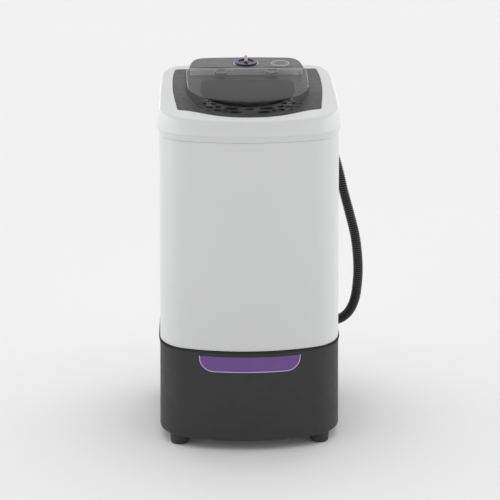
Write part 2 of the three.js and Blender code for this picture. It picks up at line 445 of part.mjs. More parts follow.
for (let i = 5; i >= 0; i--) { const t = (119 + i * 6.4) * Math.PI / 180; padShape.push([50.4 * Math.cos(t), 50.4 * Math.sin(t)]); }
const pad = plate([...padShape].reverse(), 166, 184);
const brakeRod = turned([[0, 150], [7, 150], [7, 156], [3, 156.2], [3, 690], [0, 690]], 12).translate(-125, 125, 0);

const capacitor = rod(20, BASE_Z + 4.4, 100, 20).translate(104, -66, 0);
const gland = turned([[2.6, 0], [10, 0], [10, 4], [6, 5], [6, 12], [2.6, 12], [2.6, 0]], 16).rotateX(Math.PI / 2).rotateZ(0.121);

// ---------- label on the base front ----------
const labelOutline = (grow) => {
  const w = 99.9 + grow, top = 204.6, low = 173.6 - grow, c = 26 + grow;
  const half = [[w, top], [w - 0.5, low + c]];
  for (let i = 1; i <= 6; i++) { const t = (i / 6) * Math.PI / 2; half.push([w - 0.5 - c + c * Math.cos(t), low + c - c * Math.sin(t)]); }
  half.push([0, low]);
  const left = mirrored(half.slice(0, -1));
  return [...half, ...left].map(([x, z]) => [x - 1.5, z]);
};
const upright = (g) => g.applyMatrix4(new THREE.Matrix4().makeBasis(new THREE.Vector3(1, 0, 0), new THREE.Vector3(0, 0, 1), new THREE.Vector3(0, -1, 0)));
const prism = (pts) => upright(plate([...pts].reverse(), 0, 260));
const band = (inner, outer) => shell([
  [baseOff(160) + inner, 160], [baseOff(160) + outer, 160], [baseOff(200) + outer, 200], [baseOff(205) + outer, 205], [baseOff(210) + outer, 210],
  [baseOff(210) + inner, 210], [baseOff(205) + inner, 205], [baseOff(200) + inner, 200], [baseOff(160) + inner, 160]]);
const label = common(band(0.35, 1.35), prism(labelOutline(0)));
const labelTrim = geometryOf(solid(band(0.35, 1.55)).intersect(solid(prism(labelOutline(2.1)))).subtract(solid(prism(labelOutline(0.3).map(([x, z]) => [x, z > 200 ? z + 3 : z])))));

// ---------- feet and screws ----------
const foot = turned([[0, 0], [16.6, 0], [18.8, 2.2], [19.5, 16], [19.5, BASE_Z - GAP], [3.8, BASE_Z - GAP], [3.8, 8], [0, 8]], 18);
const footScrew = turned([[0, 9], [3, 9], [3, BASE_Z + 4.4], [6.4, BASE_Z + 4.4], [6.4, BASE_Z + 7], [0, BASE_Z + 8]], 12);
const coverScrew = (s) => turned([[0, 0], [4.6, 0], [4, 2.2], [0, 2.8]], 12).rotateX(-Math.PI / 2).rotateZ(-s * 0.132).translate(s * 120, 167.6, 647);

// ---------- scene ----------
const group = new THREE.Group();
const top = new THREE.Group();
top.position.set(0, 0, TOP_Z);
top.rotation.x = TILT;
group.add(top);
const put = (name, geometry, key, parent = group, at = null) => {
  const m = new THREE.Mesh(clean(geometry), material(key));
  m.name = name;
  if (at) m.position.set(...at);
  parent.add(m);
  return m;
};

put('base_housing', baseHousing, 'dark');
put('outer_cabinet', cabinet, 'white');
put('top_cover', topCover, 'white');
put('top_deck', deck, 'deck', top);
put('lid', lid, 'smoke', top);
put('hinge_bracket_right', bracket(1), 'zinc', top);
put('hinge_bracket_left', bracket(-1), 'zinc', top);
put('hinge_pin_right', pin(1), 'steel', top);
put('hinge_pin_left', pin(-1), 'steel', top);
put('control_panel', panel, 'deck', top);
put('timer_knob', knob, 'purple', top);
put('timer_shaft', timerShaft, 'steel', top);
put('timer_module', timerBody, 'black', top);
put('lid_switch', switchBody, 'black', top);
put('lid_switch_plunger', switchPlunger, 'tub', top);
put('tub_platform', platform, 'zinc');
put('outer_tub', tub, 'tub');
put('tub_ring', tubRing, 'tub');
put('spin_basket', basket, 'tub');
put('basket_hub', hub, 'steel');
put('hub_nut', hubNut, 'zinc');
put('drive_shaft', shaft, 'steel');
put('shaft_seal', sealRing, 'rubber');
put('bearing_housing', bearingHousing, 'iron');
put('upper_bearing', bearingUp, 'steel');
put('lower_bearing', bearingLow, 'steel');
put('brake_drum', drum, 'iron');
put('motor_bracket', bracketPlate, 'zinc');
put('motor_housing', motor, 'iron');
put('motor_rotor', rotor, 'steel');
[90, 210, 330].forEach((a, i) => {
  put(`rubber_mount_${i + 1}`, mountPost(a), 'rubber');
  put(`mount_bolt_${i + 1}`, mountBolt(a), 'zinc');
});
put('brake_pin', brakePin, 'steel');
put('brake_bracket', brakeBracket, 'zinc');
put('brake_lever', lever, 'zinc');
put('brake_pad', pad, 'rubber');
put('brake_rod', brakeRod, 'steel');
put('run_capacitor', capacitor, 'black');
put('drain_pipe', drainPipe, 'rubber');
put('drain_elbow', drainElbow, 'black');
put('drain_hose', hose, 'hose');
put('hose_nozzle', nozzle, 'black');
put('hose_holder', holder, 'black');
put('cord_gland', gland, 'rubber', group, [GLAND_X - 0.5, 182.4, GLAND_Z]);
put('label_plate', label, 'label');
put('label_trim', labelTrim, 'lilac');
put('cover_screw_left', coverScrew(-1), 'zinc');
put('cover_screw_right', coverScrew(1), 'zinc');
['front_left', 'front_right', 'rear_left', 'rear_right'].forEach((n, i) => {
  put(`foot_${n}`, foot, 'rubber', group, [...FEET[i], 0]);
  put(`foot_screw_${n}`, footScrew, 'zinc', group, [...FEET[i], 0]);
});

export default group;
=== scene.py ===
import bpy, bmesh, math, json
from mathutils import Vector, Matrix
from mathutils.geometry import tessellate_polygon
from mathutils.kdtree import KDTree


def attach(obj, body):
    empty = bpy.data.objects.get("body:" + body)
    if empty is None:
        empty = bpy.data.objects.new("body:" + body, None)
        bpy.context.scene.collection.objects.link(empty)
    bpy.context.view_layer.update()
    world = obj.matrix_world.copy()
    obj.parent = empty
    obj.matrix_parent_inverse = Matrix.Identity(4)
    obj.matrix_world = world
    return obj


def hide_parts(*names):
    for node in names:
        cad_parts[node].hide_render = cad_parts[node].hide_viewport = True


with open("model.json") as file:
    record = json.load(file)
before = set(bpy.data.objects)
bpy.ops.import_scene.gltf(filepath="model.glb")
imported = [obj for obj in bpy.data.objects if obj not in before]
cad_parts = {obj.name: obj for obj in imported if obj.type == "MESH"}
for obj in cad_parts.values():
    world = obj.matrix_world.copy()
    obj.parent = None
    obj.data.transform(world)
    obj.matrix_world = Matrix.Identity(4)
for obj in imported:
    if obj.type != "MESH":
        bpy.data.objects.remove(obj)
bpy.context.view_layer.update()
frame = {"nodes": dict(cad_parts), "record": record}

SC = bpy.context.scene
MM = 0.001

# ------------------------------------------------------------------ camera
CAM_AT = Vector((-0.08833, -2.84529, 1.31596))
CAM_BACK = Vector((-0.030866, -0.948429, 0.315483))
cam_data = bpy.data.cameras.new("camera")
cam_data.lens, cam_data.sensor_width = 104.166, 36.0
cam_data.clip_start, cam_data.clip_end = 0.05, 60.0
cam = bpy.data.objects.new("camera", cam_data)
SC.collection.objects.link(cam)
cam.location = CAM_AT
cam.rotation_mode = "QUATERNION"
cam.rotation_quaternion = (-CAM_BACK).to_track_quat("-Z", "Y")
SC.camera = cam

# ------------------------------------------------------------------ dimensions, mm
HALF_W, HALF_D = 185.0, 182.5
FRONT_SAG, REAR_SAG, SIDE_SAG = 43.8, 19.0, 3.6
FRONT_CORNER, REAR_CORNER = 78.6, 60.0
TOP_Z, SLOPE = 703.6, 0.12
TILT = math.atan(SLOPE)
TS, TC = math.sin(TILT), math.cos(TILT)
HINGE_V, HINGE_W, HINGE_X = 90.0, 9.0, 52.5
KNOB_V = 130.0


def base_off(z):
    return 1.6 - (z - 22) * (3.2 / 178) if z < 200 else -1.6 + ((z - 200) / 17) ** 1.5 * 2.4


def body_off(z):
    return -2 - (z - 217) * (6.3 / 424)


def top(x, v, w):
    """a point of the sloping top: along the slope v, above it w"""
    return (x, v * TC - w * TS, TOP_Z + v * TS + w * TC)


# ------------------------------------------------------------------ materials
def nodes_of(name):
    m = bpy.data.materials.new(name)
    m.use_nodes = True
    nt = m.node_tree
    return m, nt, nt.nodes["Principled BSDF"]


def ramp(nt, fac, stops):
    r = nt.nodes.new("ShaderNodeValToRGB")
    el = r.color_ramp.elements
    while len(el) < len(stops):
        el.new(0.5)
    for e, (p, c) in zip(el, stops):
        e.position = p
        e.color = (c[0], c[1], c[2], 1) if hasattr(c, "__len__") else (c, c, c, 1)
    nt.links.new(fac, r.inputs["Fac"])
    return r.outputs["Color"]


def noise(nt, scale, detail=3.0, rough=0.5, vec=None):
    n = nt.nodes.new("ShaderNodeTexNoise")
    n.inputs["Scale"].default_value = scale
    n.inputs["Detail"].default_value = detail
    n.inputs["Roughness"].default_value = rough
    if vec is None:
        tc = nt.nodes.new("ShaderNodeTexCoord")
        vec = tc.outputs["Object"]
    nt.links.new(vec, n.inputs["Vector"])
    return n.outputs["Fac"]


def mul(c, k):
    return tuple(min(1.0, x * k) for x in c)


def plastic(name, rgb, rough=0.42, grain=900.0, grain_depth=0.02, vary=0.05, rough_vary=0.06, broad=9.0, metallic=0.0,
            spec=None, coat=0.0, speckle=None, stretch=None, fade=None):
    m, nt, p = nodes_of(name)
    tc = nt.nodes.new("ShaderNodeTexCoord")
    vec = tc.outputs["Object"]
    if stretch:
        mp = nt.nodes.new("ShaderNodeMapping")
        mp.inputs["Scale"].default_value = stretch
        nt.links.new(vec, mp.inputs["Vector"])
        vec = mp.outputs["Vector"]
    b = noise(nt, broad, 4.0, 0.55, vec)
    col = ramp(nt, b, [(0.3, mul(rgb, 1 - vary)), (0.7, mul(rgb, 1 + vary))])
    fine = noise(nt, grain, 2.0, 0.6, vec)
    if speckle:
        mix = nt.nodes.new("ShaderNodeMix")
        mix.data_type = "RGBA"
        s = ramp(nt, fine, [(0.55, 0.0), (0.68, 1.0)])
        nt.links.new(s, mix.inputs["Factor"])
        nt.links.new(col, mix.inputs["A"])
        mix.inputs["B"].default_value = (*speckle, 1)
        col = mix.outputs["Result"]
    if fade:
        # painted shade: darker towards the front, standing in for the weaker light there: (y of the darkest shade, y of
        # the full tone, its share)
        sep = nt.nodes.new("ShaderNodeSeparateXYZ")
        nt.links.new(tc.outputs["Object"], sep.inputs[0])
        mr = nt.nodes.new("ShaderNodeMapRange")
        mr.inputs["From Min"].default_value, mr.inputs["From Max"].default_value = fade[0], fade[1]
        mr.inputs["To Min"].default_value, mr.inputs["To Max"].default_value = fade[2], 1.0
        nt.links.new(sep.outputs["Y"], mr.inputs["Value"])
        sc = nt.nodes.new("ShaderNodeVectorMath")
        sc.operation = "SCALE"
        nt.links.new(col, sc.inputs[0])
        nt.links.new(mr.outputs["Result"], sc.inputs["Scale"])
        col = sc.outputs[0]
    nt.links.new(col, p.inputs["Base Color"])
    rr = ramp(nt, noise(nt, broad * 4.3, 3.0, 0.5, vec), [(0.3, max(0.02, rough - rough_vary)), (0.7, min(1, rough + rough_vary))])
    nt.links.new(rr, p.inputs["Roughness"])
    bump = nt.nodes.new("ShaderNodeBump")
    bump.inputs["Strength"].default_value = 0.5
    bump.inputs["Distance"].default_value = grain_depth * MM
    nt.links.new(fine, bump.inputs["Height"])
    nt.links.new(bump.outputs["Normal"], p.inputs["Normal"])
    p.inputs["Metallic"].default_value = metallic
    if spec is not None:
        p.inputs["Specular IOR Level"].default_value = spec
    if coat:
        p.inputs["Coat Weight"].default_value = coat
        p.inputs["Coat Roughness"].default_value = 0.12
    return m


WHITE = plastic("white_shell", (0.595, 0.598, 0.60), 0.36, grain=1500, grain_depth=0.012, vary=0.012, rough_vary=0.04, broad=5)
DARK = plastic("base_plastic", (0.025, 0.0254, 0.0256), 0.55, grain=2200, grain_depth=0.03, vary=0.05, broad=12, spec=0.36)
LIP_SIDE_SHADED = plastic("collar_rim", (0.025, 0.0254, 0.0256), 0.6, grain=2200, grain_depth=0.03, vary=0.05, broad=12, spec=0.12)
# the deck plastic carries painted shade, darker towards its front
DECK = plastic("deck_plastic", (0.075, 0.0755, 0.076), 0.5, grain=2400, grain_depth=0.035, vary=0.04, broad=16, spec=0.26, fade=(-0.155, 0.06, 0.16))
PANEL = plastic("console_plastic", (0.092, 0.0926, 0.094), 0.5, grain=1700, grain_depth=0.05, vary=0.03, broad=20, speckle=(0.14, 0.141, 0.142))
# painted light: a lighter copy of the console plastic for its front wall, which lies in shade
PANEL_WALL_LIT = plastic("console_wall", (0.128, 0.129, 0.131), 0.5, grain=1700, grain_depth=0.05, vary=0.03, broad=20)
TUBP = plastic("tub_plastic", (0.05, 0.051, 0.053), 0.45, grain=700, grain_depth=0.02, vary=0.04)
BASKETP = plastic("basket_plastic", (0.05, 0.052, 0.055), 0.4, grain=700, grain_depth=0.02, vary=0.05)
KNOB = plastic("knob_plastic", (0.078, 0.05, 0.118), 0.4, grain=1900, grain_depth=0.015, vary=0.05, broad=30)
# painted shade: a darker copy of the knob plastic for the faces that do not look up
KNOB_SHADED = plastic("knob_plastic_deep", (0.03, 0.022, 0.04), 0.45, grain=1900, grain_depth=0.015, vary=0.05, broad=30)
# painted highlight: a lighter copy of the knob plastic for the top of the ridge
RIDGE_LIT = plastic("ridge_plastic", (0.175, 0.15, 0.215), 0.36, grain=1900, grain_depth=0.012, vary=0.04, broad=30)
BLACKP = plastic("black_plastic", (0.03, 0.03, 0.031), 0.5, grain=1800, grain_depth=0.03, vary=0.08)
HINGEM = plastic("hinge_plastic", (0.105, 0.105, 0.107), 0.5, grain=1800, grain_depth=0.03, vary=0.08)
RUBBER = plastic("rubber", (0.022, 0.022, 0.0225), 0.72, grain=1300, grain_depth=0.05, vary=0.1)
HOSEM = plastic("hose_plastic", (0.04, 0.04, 0.041), 0.42, grain=1500, grain_depth=0.02, vary=0.06)
# painted shade: a near-black copy of the hose plastic for the grooves between the ribs
HOSE_GROOVE_SHADE = plastic("hose_groove", (0.004, 0.004, 0.004), 0.8, grain=1500, grain_depth=0.02, vary=0.06, spec=0.1)
STEEL = plastic("steel", (0.56, 0.57, 0.58), 0.28, grain=260, grain_depth=0.01, vary=0.05, metallic=1.0, stretch=(1, 1, 9))
ZINC = plastic("zinc_sheet", (0.5, 0.51, 0.53), 0.42, grain=90, grain_depth=0.01, vary=0.12, broad=60, metallic=1.0)
CAST = plastic("cast_iron", (0.2, 0.2, 0.205), 0.6, grain=500, grain_depth=0.12, vary=0.12, metallic=0.7)
PALE = plastic("pale_print", (0.62, 0.60, 0.66), 0.45, grain=1500, grain_depth=0.01, vary=0.03)
LILAC = plastic("label_edge", (0.50, 0.40, 0.60), 0.4, grain=1500, grain_depth=0.01, vary=0.03)


def paint_side_shade(m, x0, x1, low):
    """painted shade: darker towards the sides, against the side light falling there: full tone up to x0, the low share
    from x1 on
    """
    nt = m.node_tree
    p = nt.nodes["Principled BSDF"]
    tc = nt.nodes.new("ShaderNodeTexCoord")
    sep = nt.nodes.new("ShaderNodeSeparateXYZ")
    nt.links.new(tc.outputs["Object"], sep.inputs[0])
    ab = nt.nodes.new("ShaderNodeMath")
    ab.operation = "ABSOLUTE"
    nt.links.new(sep.outputs["X"], ab.inputs[0])
    mr = nt.nodes.new("ShaderNodeMapRange")
    mr.inputs["From Min"].default_value, mr.inputs["From Max"].default_value = x0, x1
    mr.inputs["To Min"].default_value, mr.inputs["To Max"].default_value = 1.0, low
    nt.links.new(ab.outputs[0], mr.inputs["Value"])
    sc = nt.nodes.new("ShaderNodeVectorMath")
    sc.operation = "SCALE"
    nt.links.new(p.inputs["Base Color"].links[0].from_socket, sc.inputs[0])
    nt.links.new(mr.outputs["Result"], sc.inputs["Scale"])
    nt.links.new(sc.outputs[0], p.inputs["Base Color"])


# painted shade on the collar rim's sides, where the side light falls
paint_side_shade(LIP_SIDE_SHADED, 0.150, 0.180, 0.35)


def label_material():
    m, nt, p = nodes_of("label_purple")
    tc = nt.nodes.new("ShaderNodeTexCoord")
    vec = tc.outputs["Object"]
    base = ramp(nt, noise(nt, 30, 4, 0.6, vec), [(0.3, (0.112, 0.048, 0.215)), (0.7, (0.127, 0.056, 0.24))])
    # small dark dots that grow denser towards both ends
    vor = nt.nodes.new("ShaderNodeTexVoronoi")
    vor.feature = "F1"
    vor.inputs["Scale"].default_value = 380
    vor.inputs["Randomness"].default_value = 0.75
    nt.links.new(vec, vor.inputs["Vector"])
    dots = ramp(nt, vor.outputs["Distance"], [(0.20, 1.0), (0.34, 0.0)])
    sep = nt.nodes.new("ShaderNodeSeparateXYZ")
    nt.links.new(vec, sep.inputs[0])
    ab = nt.nodes.new("ShaderNodeMath")
    ab.operation = "ABSOLUTE"
    nt.links.new(sep.outputs["X"], ab.inputs[0])
    mr = nt.nodes.new("ShaderNodeMapRange")
    mr.inputs["From Min"].default_value = 0.035
    mr.inputs["From Max"].default_value = 0.085
    nt.links.new(ab.outputs[0], mr.inputs["Value"])
    pick = ramp(nt, noise(nt, 210, 1, 0.5, vec), [(0.36, 0.0), (0.6, 1.0)])
    m1 = nt.nodes.new("ShaderNodeMath")
    m1.operation = "MULTIPLY"
    nt.links.new(mr.outputs["Result"], m1.inputs[0])
    nt.links.new(dots, m1.inputs[1])
    m2 = nt.nodes.new("ShaderNodeMath")
    m2.operation = "MULTIPLY"
    nt.links.new(m1.outputs[0], m2.inputs[0])
    nt.links.new(pick, m2.inputs[1])
    mix = nt.nodes.new("ShaderNodeMix")
    mix.data_type = "RGBA"
    nt.links.new(m2.outputs[0], mix.inputs["Factor"])
    nt.links.new(base, mix.inputs["A"])
    mix.inputs["B"].default_value = (0.045, 0.02, 0.11, 1)
    nt.links.new(mix.outputs["Result"], p.inputs["Base Color"])
    rr = ramp(nt, noise(nt, 60, 3, 0.5, vec), [(0.3, 0.34), (0.7, 0.44)])
    nt.links.new(rr, p.inputs["Roughness"])
    bump = nt.nodes.new("ShaderNodeBump")
    bump.inputs["Distance"].default_value = 0.00002
    nt.links.new(noise(nt, 1200, 2, 0.5, vec), bump.inputs["Height"])
    nt.links.new(bump.outputs["Normal"], p.inputs["Normal"])
    return m


LABEL = label_material()


def smoke_material(name, tint, ior=0.0, gloss=0.0, rough=0.06):
    """clear smoked plastic: what is behind it, tinted, with a gloss on its outer side"""
    m = bpy.data.materials.new(name)
    m.use_nodes = True
    nt = m.node_tree
    for n in list(nt.nodes):
        if n.type != "OUTPUT_MATERIAL":
            nt.nodes.remove(n)
    out = [n for n in nt.nodes if n.type == "OUTPUT_MATERIAL"][0]
    tc = nt.nodes.new("ShaderNodeTexCoord")
    tr = nt.nodes.new("ShaderNodeBsdfTransparent")
    c = ramp(nt, noise(nt, 14, 3, 0.5, tc.outputs["Object"]), [(0.3, mul(tint, 0.985)), (0.7, mul(tint, 1.015))])
    nt.links.new(c, tr.inputs["Color"])
    if not gloss:
        nt.links.new(tr.outputs[0], out.inputs["Surface"])
        return m
    gl = nt.nodes.new("ShaderNodeBsdfGlossy")
    gl.inputs["Color"].default_value = (gloss, gloss, gloss, 1)
    rr = ramp(nt, noise(nt, 40, 3, 0.5, tc.outputs["Object"]), [(0.35, rough), (0.75, rough + 0.03)])
    nt.links.new(rr, gl.inputs["Roughness"])
    fr = nt.nodes.new("ShaderNodeFresnel")
    fr.inputs["IOR"].default_value = ior
    geo = nt.nodes.new("ShaderNodeNewGeometry")
    k = nt.nodes.new("ShaderNodeMath")
    k.operation = "SUBTRACT"
    k.inputs[0].default_value = 1.0
    nt.links.new(geo.outputs["Backfacing"], k.inputs[1])
    k2 = nt.nodes.new("ShaderNodeMath")
    k2.operation = "MULTIPLY"
    nt.links.new(fr.outputs[0], k2.inputs[0])
    nt.links.new(k.outputs[0], k2.inputs[1])
    mix = nt.nodes.new("ShaderNodeMixShader")
    nt.links.new(k2.outputs[0], mix.inputs[0])
    nt.links.new(tr.outputs[0], mix.inputs[1])
    nt.links.new(gl.outputs[0], mix.inputs[2])
    nt.links.new(mix.outputs[0], out.inputs["Surface"])
    return m


SMOKE = smoke_material("lid_smoke_outer", (0.845, 0.845, 0.85), 1.185, 0.9, 0.09)
SMOKE_SKIRT = smoke_material("lid_smoke_skirt", (0.845, 0.845, 0.85), 1.185, 0.75, 0.3)
SMOKE_IN = smoke_material("lid_smoke_inner", (0.845, 0.845, 0.85))
SMOKE_EAR = smoke_material("lid_smoke_thick", (0.86, 0.86, 0.865))

# ------------------------------------------------------------------ mesh helpers


def sharpen(me, degrees=32.0):
    bm = bmesh.new()
    bm.from_mesh(me)
    for f in bm.faces:
        f.smooth = True
    lim = math.radians(degrees)
    for e in bm.edges:
        e.smooth = len(e.link_faces) == 2 and e.calc_face_angle(0.0) < lim
    bm.to_mesh(me)
    bm.free()


def link(name, me, mats, body, replaces=(), weighted=True):
    o = bpy.data.objects.new(name, me)
    SC.collection.objects.link(o)
    if not isinstance(mats, (list, tuple)):
        mats = [mats]
    if not me.materials:
        for m in mats:
            me.materials.append(m)
    if weighted:
        wn = o.modifiers.new("weighted", "WEIGHTED_NORMAL")
        wn.keep_sharp = True
        wn.weight = 60
    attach(o, body)
    if replaces:
        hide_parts(*replaces)
    return o


def mesh_of(name, verts, faces, degrees=32.0, unit=MM, recalc=True):
    me = bpy.data.meshes.new(name)
    me.from_pydata([tuple(c * unit for c in v) for v in verts], [], faces)
    bm = bmesh.new()
    bm.from_mesh(me)
    bmesh.ops.remove_doubles(bm, verts=bm.verts, dist=3e-6)
    bmesh.ops.dissolve_degenerate(bm, edges=bm.edges, dist=1e-6)
    if recalc:
        bmesh.ops.recalc_face_normals(bm, faces=bm.faces)
    bm.to_mesh(me)
    bm.free()
    sharpen(me, degrees)
    return me


def rings_mesh(name, rings, closed=True, degrees=32.0, caps=False):
    """rings: lists of equal length, joined one to the next; closed joins the last to the first"""
    n = len(rings[0])
    verts = [p for r in rings for p in r]
    faces = []
    m = len(rings)
    for i in range(m if closed else m - 1):
        a, b = i * n, ((i + 1) % m) * n
        for j in range(n):
            k = (j + 1) % n
            faces.append((a + j, a + k, b + k, b + j))
    if caps and not closed:
        faces.append(tuple(range(n))[::-1])
        faces.append(tuple((m - 1) * n + j for j in range(n)))
    return mesh_of(name, verts, faces, degrees)


def fillet(points, seg=5, support=0.35):
    """points (a, b, r[, s]) of an open or closed section; each corner with r > 0 becomes an arc.
    Extra points just beside each arc keep the flats flat."""
    out = []
    n = len(points)
    for i, pt in enumerate(points):
        a, b, r = pt[0], pt[1], pt[2]
        s = pt[3] if len(pt) > 3 else 0.0
        if r <= 0:
            out.append((a, b, s))
            continue
        p0, p1 = points[i - 1], points[(i + 1) % n]
        P, A, B = Vector((a, b)), Vector(p0[:2]), Vector(p1[:2])
        u, w = (A - P), (B - P)
        lu, lw = u.length, w.length
        u.normalize()
        w.normalize()
        ang = u.angle(w)
        t = r / math.tan(ang / 2)
        t = min(t, lu * 0.49, lw * 0.49)
        rr = t * math.tan(ang / 2)
        c = P + (u + w).normalized() * (rr / math.sin(ang / 2))
        s0, s1 = P + u * t, P + w * t
        a0 = math.atan2(s0.y - c.y, s0.x - c.x)
        a1 = math.atan2(s1.y - c.y, s1.x - c.x)
        d = (a1 - a0 + math.pi) % (2 * math.pi) - math.pi
        if support and lu - t > support * 2:
            q = P + u * (t + support)
            out.append((q.x, q.y, s))
        for k in range(seg + 1):
            th = a0 + d * k / seg
            out.append((c.x + rr * math.cos(th), c.y + rr * math.sin(th), s))
        if support and lw - t > support * 2:
            q = P + w * (t + support)
            out.append((q.x, q.y, s))
    return out


# ------------------------------------------------------------------ cabinet plan
def quarter(a, b, sag_f, sag_s, rc, n_f, n_c, n_s):
    rf = (HALF_W ** 2 + sag_f ** 2) / (2 * sag_f)
    rs = (HALF_D ** 2 + sag_s ** 2) / (2 * sag_s)
    F, S = (0.0, b - rf), (a - rs, 0.0)
    d = math.hypot(S[0] - F[0], S[1] - F[1])
    r1, r2 = rf - rc, rs - rc
    u = (d * d + r1 * r1 - r2 * r2) / (2 * d)
    h = math.sqrt(r1 * r1 - u * u)
    ex = ((S[0] - F[0]) / d, (S[1] - F[1]) / d)
    K = (F[0] + u * ex[0] - h * ex[1], F[1] + u * ex[1] + h * ex[0])
    if K[0] < 0 or K[1] < 0:
        K = (F[0] + u * ex[0] + h * ex[1], F[1] + u * ex[1] - h * ex[0])
    af = math.atan2(K[1] - F[1], K[0] - F[0])
    as_ = math.atan2(K[1] - S[1], K[0] - S[0])
    out = []

    def arc(c, r, t0, t1, n):
        for i in range(n):
            t = t0 + (t1 - t0) * i / n
            out.append((c[0] + r * math.cos(t), c[1] + r * math.sin(t), math.cos(t), math.sin(t)))
    arc(S, rs, 0, as_, n_s)
    arc(K, rc, as_, af, n_c)
    arc(F, rf, af, math.pi / 2, n_f)
    out.append((0, b, 0, 1))
    return out


def plan(n_f, n_c, n_s):
    r = quarter(HALF_W, HALF_D, REAR_SAG, SIDE_SAG, REAR_CORNER, n_f, n_c, n_s)
    f = quarter(HALF_W, HALF_D, FRONT_SAG, SIDE_SAG, FRONT_CORNER, n_f, n_c, n_s)
    out = r[:-1]
    out += [(-x, y, -nx, ny) for x, y, nx, ny in r][::-1][:-1]
    out += [(-x, -y, -nx, -ny) for x, y, nx, ny in f][:-1]
    out += [(x, -y, nx, -ny) for x, y, nx, ny in f][::-1][:-1]
    return out


PLAN = plan(18, 18, 8)
AXIS = -HALF_W


def plan_ring(off0, z, s=0.0, pl=None, rear=0.0):
    ring = []
    for x, y, nx, ny in (pl or PLAN):
        t = max(0.0, min(1.0, (ny - 0.5) / 0.4))
        off = off0 + rear * t * t * (3 - 2 * t)
        if off > -50:
            px, py = x + nx * off, y + ny * off
        else:
            k = max(0.0, (HALF_W + off) / (HALF_W - 50))
            px, py = (x - nx * 50) * k, (y - ny * 50) * k
        ring.append((px, py, z + s * SLOPE * py))
    return ring


def shell(name, profile, degrees=32.0, pl=None):
    return rings_mesh(name, [plan_ring(p[0], p[1], p[2] if len(p) > 2 else 0.0, pl, p[3] if len(p) > 3 else 0.0) for p in profile], True, degrees)


def lathe_mesh(name, profile, n=48, at=(0, 0, 0), degrees=32.0, matrix=None):
    """closed or axis-to-axis section of (r, z), turned about Z"""
    rings = []
    for p in profile:
        rings.append([(p[0] * math.cos(2 * math.pi * k / n), p[0] * math.sin(2 * math.pi * k / n), p[1]) for k in range(n)])
    closed = not (profile[0][0] < 1e-6 and profile[-1][0] < 1e-6)
    if matrix is not None:
        rings = [[tuple(matrix @ Vector(q)) for q in r] for r in rings]
    rings = [[(q[0] + at[0], q[1] + at[1], q[2] + at[2]) for q in r] for r in rings]
    return rings_mesh(name, rings, closed, degrees)


def catmull(pts, per=8, closed=False):
    """centripetal Catmull-Rom through the points, any dimension"""
    P = [Vector(p) for p in pts]
    n = len(P)
    out = []
    for i in range(n if closed else n - 1):
        if closed:
            p0, p1, p2, p3 = P[i - 1], P[i], P[(i + 1) % n], P[(i + 2) % n]
        else:
            p1, p2 = P[i], P[i + 1]
            p0 = P[i - 1] if i else 2 * p1 - p2
            p3 = P[i + 2] if i + 2 < n else 2 * p2 - p1
        d0, d1, d2 = [max(1e-4, (b - a).length ** 0.5) for a, b in ((p0, p1), (p1, p2), (p2, p3))]
        t1 = ((p1 - p0) / d0 - (p2 - p0) / (d0 + d1) + (p2 - p1) / d1) * d1
        t2 = ((p2 - p1) / d1 - (p3 - p1) / (d1 + d2) + (p3 - p2) / d2) * d1
        c2, c3 = -3 * p1 + 3 * p2 - 2 * t1 - t2, 2 * p1 - 2 * p2 + t1 + t2
        for k in range(per):
            t = k / per
            out.append(p1 + t1 * t + c2 * t * t + c3 * t ** 3)
    if not closed:
        out.append(P[-1])
    return out


def dist_seg(p, a, b):
    dx, dy = b[0] - a[0], b[1] - a[1]
    q = dx * dx + dy * dy
    t = 0.0 if q < 1e-12 else max(0.0, min(1.0, ((p[0] - a[0]) * dx + (p[1] - a[1]) * dy) / q))
    return math.hypot(p[0] - a[0] - t * dx, p[1] - a[1] - t * dy)


def offset_outline(pts, d):
    """outline pushed outwards (counter-clockwise outlines), mitred, same number of points;
    points that would fold over are laid on the nearest good one"""
    n = len(pts)
    if abs(d) < 1e-9:
        return [(p[0], p[1]) for p in pts]
    out = []
    for i, p in enumerate(pts):
        a, b = pts[i - 1], pts[(i + 1) % n]
        n1 = Vector((p[1] - a[1], a[0] - p[0]))
        n2 = Vector((b[1] - p[1], p[0] - b[0]))
        n1 = n1.normalized() if n1.length > 1e-9 else n1
        n2 = n2.normalized() if n2.length > 1e-9 else n2
        m = n1 + n2
        k = 2 / max(1.1, m.dot(m))
        out.append((p[0] + m.x * k * d, p[1] + m.y * k * d))
    if abs(d) < 0.6:
        return out
    good = []
    for i, q in enumerate(out):
        near = min(dist_seg(q, pts[(i + j) % n], pts[(i + j + 1) % n]) for j in range(-24, 24))
        good.append(near > abs(d) * 0.97)
    if all(good) or not any(good):
        return out
    fixed = []
    for i in range(n):
        if good[i]:
            fixed.append(out[i])
            continue
        for j in range(1, n):
            if good[(i + j) % n]:
                fixed.append(out[(i + j) % n])
                break
            if good[i - j]:
                fixed.append(out[i - j])
                break
    return fixed


def ccw(pts):
    a = sum(p[0] * q[1] - q[0] * p[1] for p, q in zip(pts, pts[1:] + pts[:1]))
    return list(pts) if a > 0 else list(pts)[::-1]


def dedupe(loop, eps=0.02):
    out = []
    for p in loop:
        if not out or math.hypot(p[0] - out[-1][0], p[1] - out[-1][1]) > eps:
            out.append((p[0], p[1]))
    while len(out) > 3 and math.hypot(out[0][0] - out[-1][0], out[0][1] - out[-1][1]) <= eps:
        out.pop()
    return out


